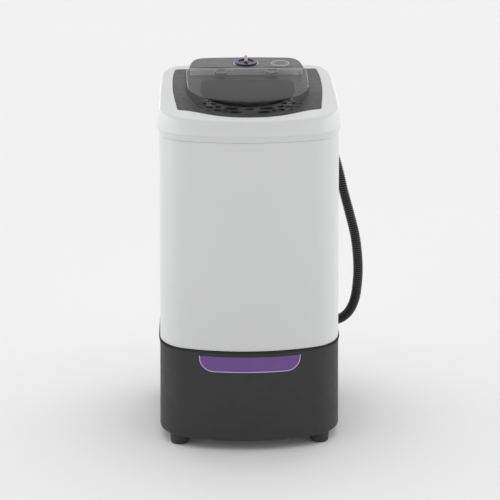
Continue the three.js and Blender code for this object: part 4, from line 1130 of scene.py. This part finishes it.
# ------------------------------------------------------------------ knob
prof = fillet([(0, 18.1, 0), (21.0, 18.1, 0.5), (22.9, 18.9, 0.7), (22.9, 21.2, 0.8), (22.0, 21.8, 0.6), (16.2, 21.8, 0.5), (15.8, 19.3, 0.5), (0, 19.2, 0)], 5, 0.25)
me = lathe_mesh("knob_disc", [(r, z) for r, z, _ in prof], 96, (0, 0, 0), 40, TOPM @ Matrix.Translation((0, KNOB_V, 0)))
me.materials.append(KNOB)
me.materials.append(KNOB_SHADED)
up_dir = Vector((0, -TS, TC))
# faces that look up keep the lighter knob plastic, the rest take the darker copy: painted highlight on top, painted
# shade on the sides
for p in me.polygons:
    c = TOPM.inverted() @ (p.center / MM)
    r = math.hypot(c.x, c.y - KNOB_V)
    p.material_index = 1 if p.normal.dot(up_dir) < 0.6 else 0
knob = link("knob_disc", me, [KNOB, KNOB_SHADED], "timer", ["timer_knob"])
# finger ridge across the disc: a bar with rounded ends and rims
ridge_rings = []
N_SIDE = 14
for w, hw, cut_in in ((18.9, 3.3, 0.0), (24.0, 3.25, 0.05), (26.4, 3.15, 0.15), (27.1, 3.0, 0.3), (27.6, 2.7, 0.6), (27.9, 2.3, 1.0), (28.0, 1.6, 1.7), (28.0, 0.05, 3.2)):
    ring = []
    y0, y1 = -17.8 + cut_in, 20.2 - cut_in
    rc = min(1.4, hw * 0.98)
    for cx, cy, a0 in ((-hw + rc, y0 + rc, 180), (hw - rc, y0 + rc, 270), (hw - rc, y1 - rc, 0), (-hw + rc, y1 - rc, 90)):
        for i in range(6):
            t = math.radians(a0 + 90 * i / 5)
            ring.append((cx + rc * math.cos(t), cy + rc * math.sin(t)))
        if a0 in (270, 90):
            for i in range(1, N_SIDE):
                q = i / N_SIDE
                yy = (y0 + rc) + (y1 - y0 - 2 * rc) * (q if a0 == 270 else 1 - q)
                ring.append(((hw if a0 == 270 else -hw), yy))
    ridge_rings.append([top(x, KNOB_V + y, w) for x, y in ring])
me = rings_mesh("knob_ridge", ridge_rings, False, 45, caps=True)
me.materials.append(KNOB_SHADED)
me.materials.append(RIDGE_LIT)
# painted highlight on the ridge top, painted shade on its sides and ends
for p in me.polygons:
    p.material_index = 1 if p.normal.dot(up_dir) > 0.35 else 0
link("knob_ridge", me, [KNOB_SHADED, RIDGE_LIT], "timer")
# pointed tip low on the front of the disc
me = plate_mesh("knob_pointer", [(-4.0, KNOB_V - 19.6), (-2.2, KNOB_V - 22.6), (-0.7, KNOB_V - 24.2), (0.7, KNOB_V - 24.2), (2.2, KNOB_V - 22.6), (4.0, KNOB_V - 19.6)], [], 18.4, 21.2, 0.4, res=2)
# the tip takes the painted-shade copy of the knob plastic
link("knob_pointer", me, KNOB_SHADED, "timer")

# ------------------------------------------------------------------ label and its edge
LABEL_X = -1.5


def label_line(grow, n=10):
    w, t, low, c = 99.9 + grow, 204.6, 173.6 - grow, 26.0 + grow
    half = [(w, t), (w - 0.25, (t + low + c) / 2), (w - 0.5, low + c)]
    for i in range(1, n + 1):
        a = (i / n) * math.pi / 2
        half.append((w - 0.5 - c + c * math.cos(a), low + c - c * math.sin(a)))
    return half


front_arc = [(x, y, nx, ny) for x, y, nx, ny in plan(60, 18, 8) if y < 0 and abs(x) < 130]
front_arc.sort()


def on_front(x, z, out):
    """point on the base front at width x and height z, raised by out"""
    lo_i = 0
    for i in range(len(front_arc) - 1):
        if front_arc[i][0] <= x <= front_arc[i + 1][0]:
            lo_i = i
            break
    a, b = front_arc[lo_i], front_arc[lo_i + 1]
    k = (x - a[0]) / max(1e-9, b[0] - a[0])
    off = base_off(z) + out
    px = a[0] + (b[0] - a[0]) * k
    py = a[1] + (b[1] - a[1]) * k
    nx = a[2] + (b[2] - a[2]) * k
    ny = a[3] + (b[3] - a[3]) * k
    l = math.hypot(nx, ny)
    return (px, py + ny / l * off, z)


def label_mesh(name, rows, thick0, thick1, deg=32.0):
    """rows: list of (z, x_left, x_right); a grid laid on the base front, closed to a thin solid"""
    cols = 48
    verts, faces = [], []
    m = len(rows)
    for lay, out in enumerate((thick1, thick0)):
        for z, xl, xr in rows:
            for j in range(cols + 1):
                x = xl + (xr - xl) * j / cols
                edge = 0.0
                if lay == 0 and (j in (0, cols) or z == rows[0][0] or z == rows[-1][0]):
                    edge = 0.25
                verts.append(on_front(x, z, out - edge))
    W = cols + 1

    def vid(lay, i, j):
        return lay * m * W + i * W + j
    for i in range(m - 1):
        for j in range(cols):
            faces.append((vid(0, i, j), vid(0, i, j + 1), vid(0, i + 1, j + 1), vid(0, i + 1, j)))
            faces.append((vid(1, i, j), vid(1, i + 1, j), vid(1, i + 1, j + 1), vid(1, i, j + 1)))
    for j in range(cols):
        faces.append((vid(0, 0, j), vid(1, 0, j), vid(1, 0, j + 1), vid(0, 0, j + 1)))
        faces.append((vid(0, m - 1, j), vid(0, m - 1, j + 1), vid(1, m - 1, j + 1), vid(1, m - 1, j)))
    for i in range(m - 1):
        faces.append((vid(0, i, 0), vid(0, i + 1, 0), vid(1, i + 1, 0), vid(1, i, 0)))
        faces.append((vid(0, i, cols), vid(1, i, cols), vid(1, i + 1, cols), vid(0, i + 1, cols)))
    return mesh_of(name, verts, faces, deg)


def half_width(z, grow):
    w, low, c = 99.9 + grow, 173.6 - grow, 26.0 + grow
    if z >= low + c:
        return w - 0.5 * (204.6 - z) / (204.6 - low - c) * 1.0
    s = (low + c - z) / c
    return w - 0.5 - c + c * math.sqrt(max(0.0, 1 - s * s))


zs = [173.6 + 26 * (1 - math.cos(math.pi / 2 * k / 16)) for k in range(17)] + [201.2, 203, 204.6]
rows = [(z, LABEL_X - half_width(z, 0), LABEL_X + half_width(z, 0)) for z in zs]
me = label_mesh("label_front", rows, 0.35, 1.35)
link("label_front", me, LABEL, "casing", ["label_plate"])
# edge: a thin strip round the sides and bottom
inner_l, outer_l = label_line(0.3, 14), label_line(2.0, 14)
strip_in = inner_l + [(x, z) for x, z in [(a * 1.0, b) for a, b in inner_l]][0:0]
full_in, full_out = [], []
for src, dst in ((inner_l, full_in), (outer_l, full_out)):
    bottom_x = src[-1][0]
    mid = [(bottom_x * (1 - k / 20), src[-1][1]) for k in range(1, 20)]
    halfp = src + mid + [(0.0, src[-1][1])]
    dst += [(x + LABEL_X, z) for x, z in halfp] + [(LABEL_X - x, z) for x, z in halfp[:-1]][::-1]
verts, faces = [], []
K = len(full_in)
for (xi, zi), (xo, zo) in zip(full_in, full_out):
    verts += [on_front(xi, zi, 0.35), on_front(xi, zi, 1.3), on_front((xi * 0.75 + xo * 0.25), (zi * 0.75 + zo * 0.25), 1.55), on_front((xi * 0.25 + xo * 0.75), (zi * 0.25 + zo * 0.75), 1.55), on_front(xo, zo, 1.3), on_front(xo, zo, 0.35)]
for i in range(K - 1):
    for j in range(6):
        k = (j + 1) % 6
        faces.append((i * 6 + j, i * 6 + k, (i + 1) * 6 + k, (i + 1) * 6 + j))
faces.append(tuple(range(6)))
faces.append(tuple((K - 1) * 6 + j for j in range(6))[::-1])
me = mesh_of("label_edge_strip", verts, faces, 40)
link("label_edge_strip", me, LILAC, "casing", ["label_trim"])

# ------------------------------------------------------------------ feet and screws
prof = fillet([(0, 0, 0), (18.8, 0, 2.8), (19.1, 8.0, 0), (19.5, 15.8, 0.5), (19.5, 21.7, 0.6), (3.8, 21.7, 0), (3.8, 8, 0), (0, 8, 0)], 4, 0.2)
for (x, y), nm in zip(FEET, ("front_left", "front_right", "rear_left", "rear_right")):
    me = lathe_mesh(f"rubber_foot_{nm}", [(r, z) for r, z, _ in prof], 48, (x, y, 0))
    link(f"rubber_foot_{nm}", me, RUBBER, "casing", [f"foot_{nm}"])
for s, nm in ((-1, "left"), (1, "right")):
    m4 = Matrix.Translation((s * 120, 167.6, 647)) @ Matrix.Rotation(-s * 0.132, 4, "Z") @ Matrix.Rotation(-math.pi / 2, 4, "X")
    me = lathe_mesh(f"cover_screw_head_{nm}", [(0, 0), (4.4, 0), (4.6, 0.4), (4.3, 1.4), (3.4, 2.2), (2.0, 2.7), (1.3, 2.75), (1.2, 1.6), (0, 1.5)], 32, matrix=m4)
    link(f"cover_screw_head_{nm}", me, ZINC, "casing", [f"cover_screw_{nm}"])
m4 = Matrix.Translation((-110.5, 182.4, 60)) @ Matrix.Rotation(0.121, 4, "Z") @ Matrix.Rotation(math.pi / 2, 4, "X")
prof = fillet([(2.6, -6, 0.4), (6.2, -6, 0.6), (7.0, -2.5, 0.4), (10, 0, 0.8), (10, 4, 0.5), (6, 5, 0), (6, 12, 0.4), (2.6, 12, 0.3)], 3, 0)
me = lathe_mesh("cord_gland_ring", [(r, max(z, 0.0)) for r, z, _ in prof], 40, matrix=m4)
link("cord_gland_ring", me, RUBBER, "casing", ["cord_gland"])

# ------------------------------------------------------------------ tub, ring and basket
prof = fillet([(34, 207, 0.5), (147, 207, 3), (153, 213, 4), (153, 648, 0.8), (159, 648, 0.5), (159, 651, 0.8), (150, 651, 0.8), (150, 216, 4), (144, 210.5, 3), (46, 210.5, 1), (46, 226, 0.6), (34, 226, 0.6)], 4, 0.4)
me = lathe_mesh("tub_shell", [(r, z) for r, z, _ in prof], 96)
link("tub_shell", me, TUBP, "casing", ["outer_tub"])
prof = fillet([(116, 651.4, 0.4), (159, 651.4, 0.4), (159, 654, 0.5), (121, 654, 0.8), (119.6, 656.2, 0.6), (117.4, 656.2, 0.6), (116, 654, 0.6)], 4, 0.3)
prof = [(r, min(z, 654.6)) for r, z, _ in prof]
me = lathe_mesh("tub_cover_ring", prof, 96)
link("tub_cover_ring", me, TUBP, "casing", ["tub_ring"])


def perforated(name, r_in, r_out, z0, z1, cols, rows, hole):
    """round wall with staggered round holes that go right through"""
    verts, faces = [], []
    index = {}

    def vert(layer, u, z):
        key = (layer, round(u * 4) % (cols * 8), round(z * 50))
        if key not in index:
            r = r_out if layer else r_in
            a = 2 * math.pi * (u / (cols * 2))
            index[key] = len(verts)
            verts.append((r * math.cos(a), r * math.sin(a), z))
        return index[key]
    dz = (z1 - z0) / rows
    du = 2 * math.pi * r_out / (cols * 2)
    for row in range(rows):
        za, zb, zm = z0 + row * dz, z0 + (row + 1) * dz, z0 + (row + 0.5) * dz
        for c in range(cols):
            u0 = c * 2 + (row % 2)
            um = u0 + 1
            border = [(u0, za), (um, za), (u0 + 2, za), (u0 + 2, zm), (u0 + 2, zb), (um, zb), (u0, zb), (u0, zm)]
            rim = {0: [], 1: []}
            ids = {0: [vert(0, *p) for p in border], 1: [vert(1, *p) for p in border]}
            start_a = math.atan2(-dz / 2, -du)
            for layer in (0, 1):
                for k in range(16):
                    j, half = divmod(k, 2)
                    ax, az = (border[j][0] - um) * du, border[j][1] - zm
                    bx, bz = (border[(j + 1) % 8][0] - um) * du, border[(j + 1) % 8][1] - zm
                    mx, mz = (ax + (bx - ax) * half / 2), (az + (bz - az) * half / 2)
                    l = math.hypot(mx, mz)
                    r = r_out if layer else r_in
                    a = 2 * math.pi * ((um + (mx / l) * hole / du) / (cols * 2))
                    rim[layer].append(len(verts))
                    verts.append((r * math.cos(a), r * math.sin(a), zm + (mz / l) * hole))
            for j in range(8):
                k = (j + 1) % 8
                for layer in (0, 1):
                    f = [ids[layer][j], ids[layer][k], rim[layer][(2 * j + 2) % 16], rim[layer][2 * j + 1], rim[layer][2 * j]]
                    faces.append(tuple(f if layer else f[::-1]))
            for k in range(16):
                k2 = (k + 1) % 16
                faces.append((rim[1][k], rim[1][k2], rim[0][k2], rim[0][k]))
    return verts, faces, index, vert


ROWS, COLS = 24, 36
Z0, Z1 = 262.0, 612.0
bv, bf, bidx, bvert = perforated("w", 117.6, 120.0, Z0, Z1, COLS, ROWS, 2.5)


def ring_ids(layer, z, odd):
    return [bvert(layer, u, z) for u in range(0, COLS * 2)]


# upper rim: from the outer wall over a rolled top to the inner wall
def lathe_into(section, start_ids, end_ids):
    n = COLS * 2
    prev = start_ids
    for r, z in section:
        cur = []
        for u in range(n):
            a = 2 * math.pi * u / n
            cur.append(len(bv))
            bv.append((r * math.cos(a), r * math.sin(a), z))
        for u in range(n):
            bf.append((prev[u], prev[(u + 1) % n], cur[(u + 1) % n], cur[u]))
        prev = cur
    for u in range(n):
        bf.append((prev[u], prev[(u + 1) % n], end_ids[(u + 1) % n], end_ids[u]))


lathe_into([(120, 622), (119.6, 629), (118.2, 633.4), (115.4, 636), (111, 636.9), (103.2, 637), (102.2, 636.4), (102, 635.4), (102.4, 634.4), (104, 634), (110.6, 633.6), (114.4, 632.2), (116.8, 628.6), (117.5, 622)],
           ring_ids(1, Z1, 0), ring_ids(0, Z1, 0))
lathe_into([(120, 252), (119.2, 247), (116.6, 243.4), (112, 240.4), (106, 240), (84, 240), (80, 242), (58, 258.4), (52, 262), (16, 262), (16, 264.6), (53, 264.6), (58.6, 261), (81, 244.8), (85, 242.6), (106, 242.6), (111, 243), (115, 245.4), (117.2, 249), (117.6, 254)],
           ring_ids(1, Z0, 0), ring_ids(0, Z0, 0))
me = mesh_of("basket_drum", bv, bf, 34)
link("basket_drum", me, BASKETP, "spinner", ["spin_basket"])
prof = fillet([(8.4, 244, 0.3), (24, 244, 0.8), (30, 252, 1.5), (30, 261.6, 0.8), (8.4, 261.6, 0.3)], 3, 0.3)
me = lathe_mesh("hub_disc", [(r, z) for r, z, _ in prof], 48)
link("hub_disc", me, STEEL, "spinner", ["basket_hub"])
hexa = [(13 * math.cos(math.radians(60 * k + 30)), 13 * math.sin(math.radians(60 * k + 30))) for k in range(6)]
me = plate_mesh("hub_nut_hex", hexa, [circle2(8.4, 0, 0, 32)], 265, 275, 0.8, lambda x, y, z: (x, y, z))
link("hub_nut_hex", me, ZINC, "spinner", ["hub_nut"])
prof = fillet([(0, 96, 0), (8, 96, 0.6), (8, 276, 0), (7.4, 278, 0), (7.4, 284.6, 0.8), (5.6, 286, 0.4), (0, 286, 0)], 3, 0)
me = lathe_mesh("shaft_turned", [(r, z) for r, z, _ in prof], 40)
link("shaft_turned", me, STEEL, "spinner", ["drive_shaft"])

# ------------------------------------------------------------------ hinge brackets and pins, seen with the lid open
for s, nm in ((1, "right"), (-1, "left")):
    x = s * HINGE_X
    for sign in (1, -1):
        sec = [(86, -12), (94, -12), (94, 9)]
        for k in range(0, 9):
            t = math.radians(180 * k / 8)
            sec.append((90 + 3.9 * math.cos(t), 8.6 + 3.8 * math.sin(t)))
        sec.append((86, 8.6))
        x0 = x + sign * 10 if sign > 0 else x - 13
        me = plate_mesh(f"hinge_cheek_{nm}_{'o' if sign * s > 0 else 'i'}", sec, [circle2(3.25, HINGE_V, HINGE_W, 24)], x0, x0 + 3, 0.35, lambda a, b, c: top(c, a, b))
        link(f"hinge_cheek_{nm}_{'o' if sign * s > 0 else 'i'}", me, HINGEM, "casing", [f"hinge_bracket_{nm}"] if sign > 0 else [])
    me = plate_mesh(f"hinge_web_{nm}", [(x - 10.2, 86), (x + 10.2, 86), (x + 10.2, 94), (x - 10.2, 94)], [], -12, -9, 0.3)
    link(f"hinge_web_{nm}", me, HINGEM, "casing")
    for sg in (1, -1):
        xa, xb = sorted((x + sg * 12.8, x + sg * 24))
        me = plate_mesh(f"hinge_tab_{nm}_{'b' if sg > 0 else 'a'}", [(xa, 86), (xb, 86), (xb, 94), (xa, 94)], [], -8.6, -6.6, 0.3)
        link(f"hinge_tab_{nm}_{'b' if sg > 0 else 'a'}", me, HINGEM, "casing")
    m4 = TOPM @ Matrix.Translation((x, HINGE_V, HINGE_W)) @ Matrix.Rotation(math.pi / 2, 4, "Y")
    me = lathe_mesh(f"hinge_pin_turned_{nm}", [(r, z) for r, z, _ in fillet([(0, -12.8, 0), (3, -12.8, 0.5), (3, 12.8, 0.5), (0, 12.8, 0)], 3, 0)], 32, matrix=m4)
    link(f"hinge_pin_turned_{nm}", me, STEEL, "casing", [f"hinge_pin_{nm}"])

# ------------------------------------------------------------------ finishes of the parts that keep their CAD shape
FINISH = {"steel": STEEL, "black_plastic": BLACKP, "tub_plastic": TUBP, "zinc_sheet": ZINC, "cast_grey": CAST, "rubber_black": RUBBER, "foot_rubber": RUBBER,
          "hose_black": HOSEM, "base_dark": DARK, "cabinet_white": WHITE, "deck_grey": DECK, "panel_grey": PANEL, "lid_smoke": SMOKE, "knob_purple": KNOB,
          "basket_plastic": BASKETP, "label_purple": LABEL, "label_lilac": LILAC}
for s in frame["record"].get("subparts", []):
    o = frame["nodes"].get(s["node"])
    if o is None or o.hide_render:
        continue
    o.data.materials.clear()
    o.data.materials.append(FINISH[s["material_slot"]])

# ------------------------------------------------------------------ floor and light
fm, fnt, fp = nodes_of("pale_floor")
fc = ramp(fnt, noise(fnt, 0.8, 3), [(0.3, 0.795), (0.7, 0.805)])
fnt.links.new(fc, fp.inputs["Base Color"])
fp.inputs["Roughness"].default_value = 0.95
fp.inputs["Specular IOR Level"].default_value = 0.0
n = 96
R = 16.0
verts = [(0, 0, 0)] + [(R * math.cos(2 * math.pi * k / n), R * math.sin(2 * math.pi * k / n), 0) for k in range(n)]
me = bpy.data.meshes.new("floor")
me.from_pydata(verts, [], [(0, 1 + k, 1 + (k + 1) % n) for k in range(n)])
me.materials.append(fm)
floor = bpy.data.objects.new("floor", me)
SC.collection.objects.link(floor)

# soft studio surround: brightness by direction, as a sum of simple lobes
LIGHT = {"all": 0.213, "up": -0.8, "zenith": 2.292, "behind": 1.164, "front": 0.15, "sides": 0.696, "far_sides": 1.45, "rim": 2.0}
world = bpy.data.worlds.new("studio")
world.use_nodes = True
wt = world.node_tree
bg = wt.nodes["Background"]
sep = wt.nodes.new("ShaderNodeSeparateXYZ")
wt.links.new(wt.nodes.new("ShaderNodeTexCoord").outputs["Generated"], sep.inputs[0])


def op(kind, a, b=None):
    n = wt.nodes.new("ShaderNodeMath")
    n.operation = kind
    for k, v in enumerate((a, b)):
        if v is None:
            continue
        if isinstance(v, (int, float)):
            n.inputs[k].default_value = v
        else:
            wt.links.new(v, n.inputs[k])
    return n.outputs[0]


dx, dy, dz = sep.outputs["X"], sep.outputs["Y"], sep.outputs["Z"]
up = op("MAXIMUM", dz, 0.0)
side = op("ABSOLUTE", dx)
back = op("MAXIMUM", dy, 0.0)
lobes = {"up": up, "zenith": op("POWER", up, 4.0), "behind": back, "front": op("MAXIMUM", op("MULTIPLY", dy, -1.0), 0.0),
         "sides": op("POWER", side, 2.0), "far_sides": op("POWER", side, 5.0), "rim": op("POWER", op("SUBTRACT", 1.0, up), 6.0)}
total = op("ADD", LIGHT["all"], 0.0)
for k, lobe in lobes.items():
    if LIGHT[k]:
        total = op("ADD", total, op("MULTIPLY", lobe, LIGHT[k]))
total = op("MAXIMUM", total, 0.0)
wt.links.new(total, bg.inputs["Strength"])
bg.inputs["Color"].default_value = (1.0, 1.0, 1.0, 1)
SC.world = world

SC.view_settings.view_transform = "Standard"
SC.view_settings.look = "None"
SC.view_settings.exposure = 0.0
SC.view_settings.gamma = 1.0
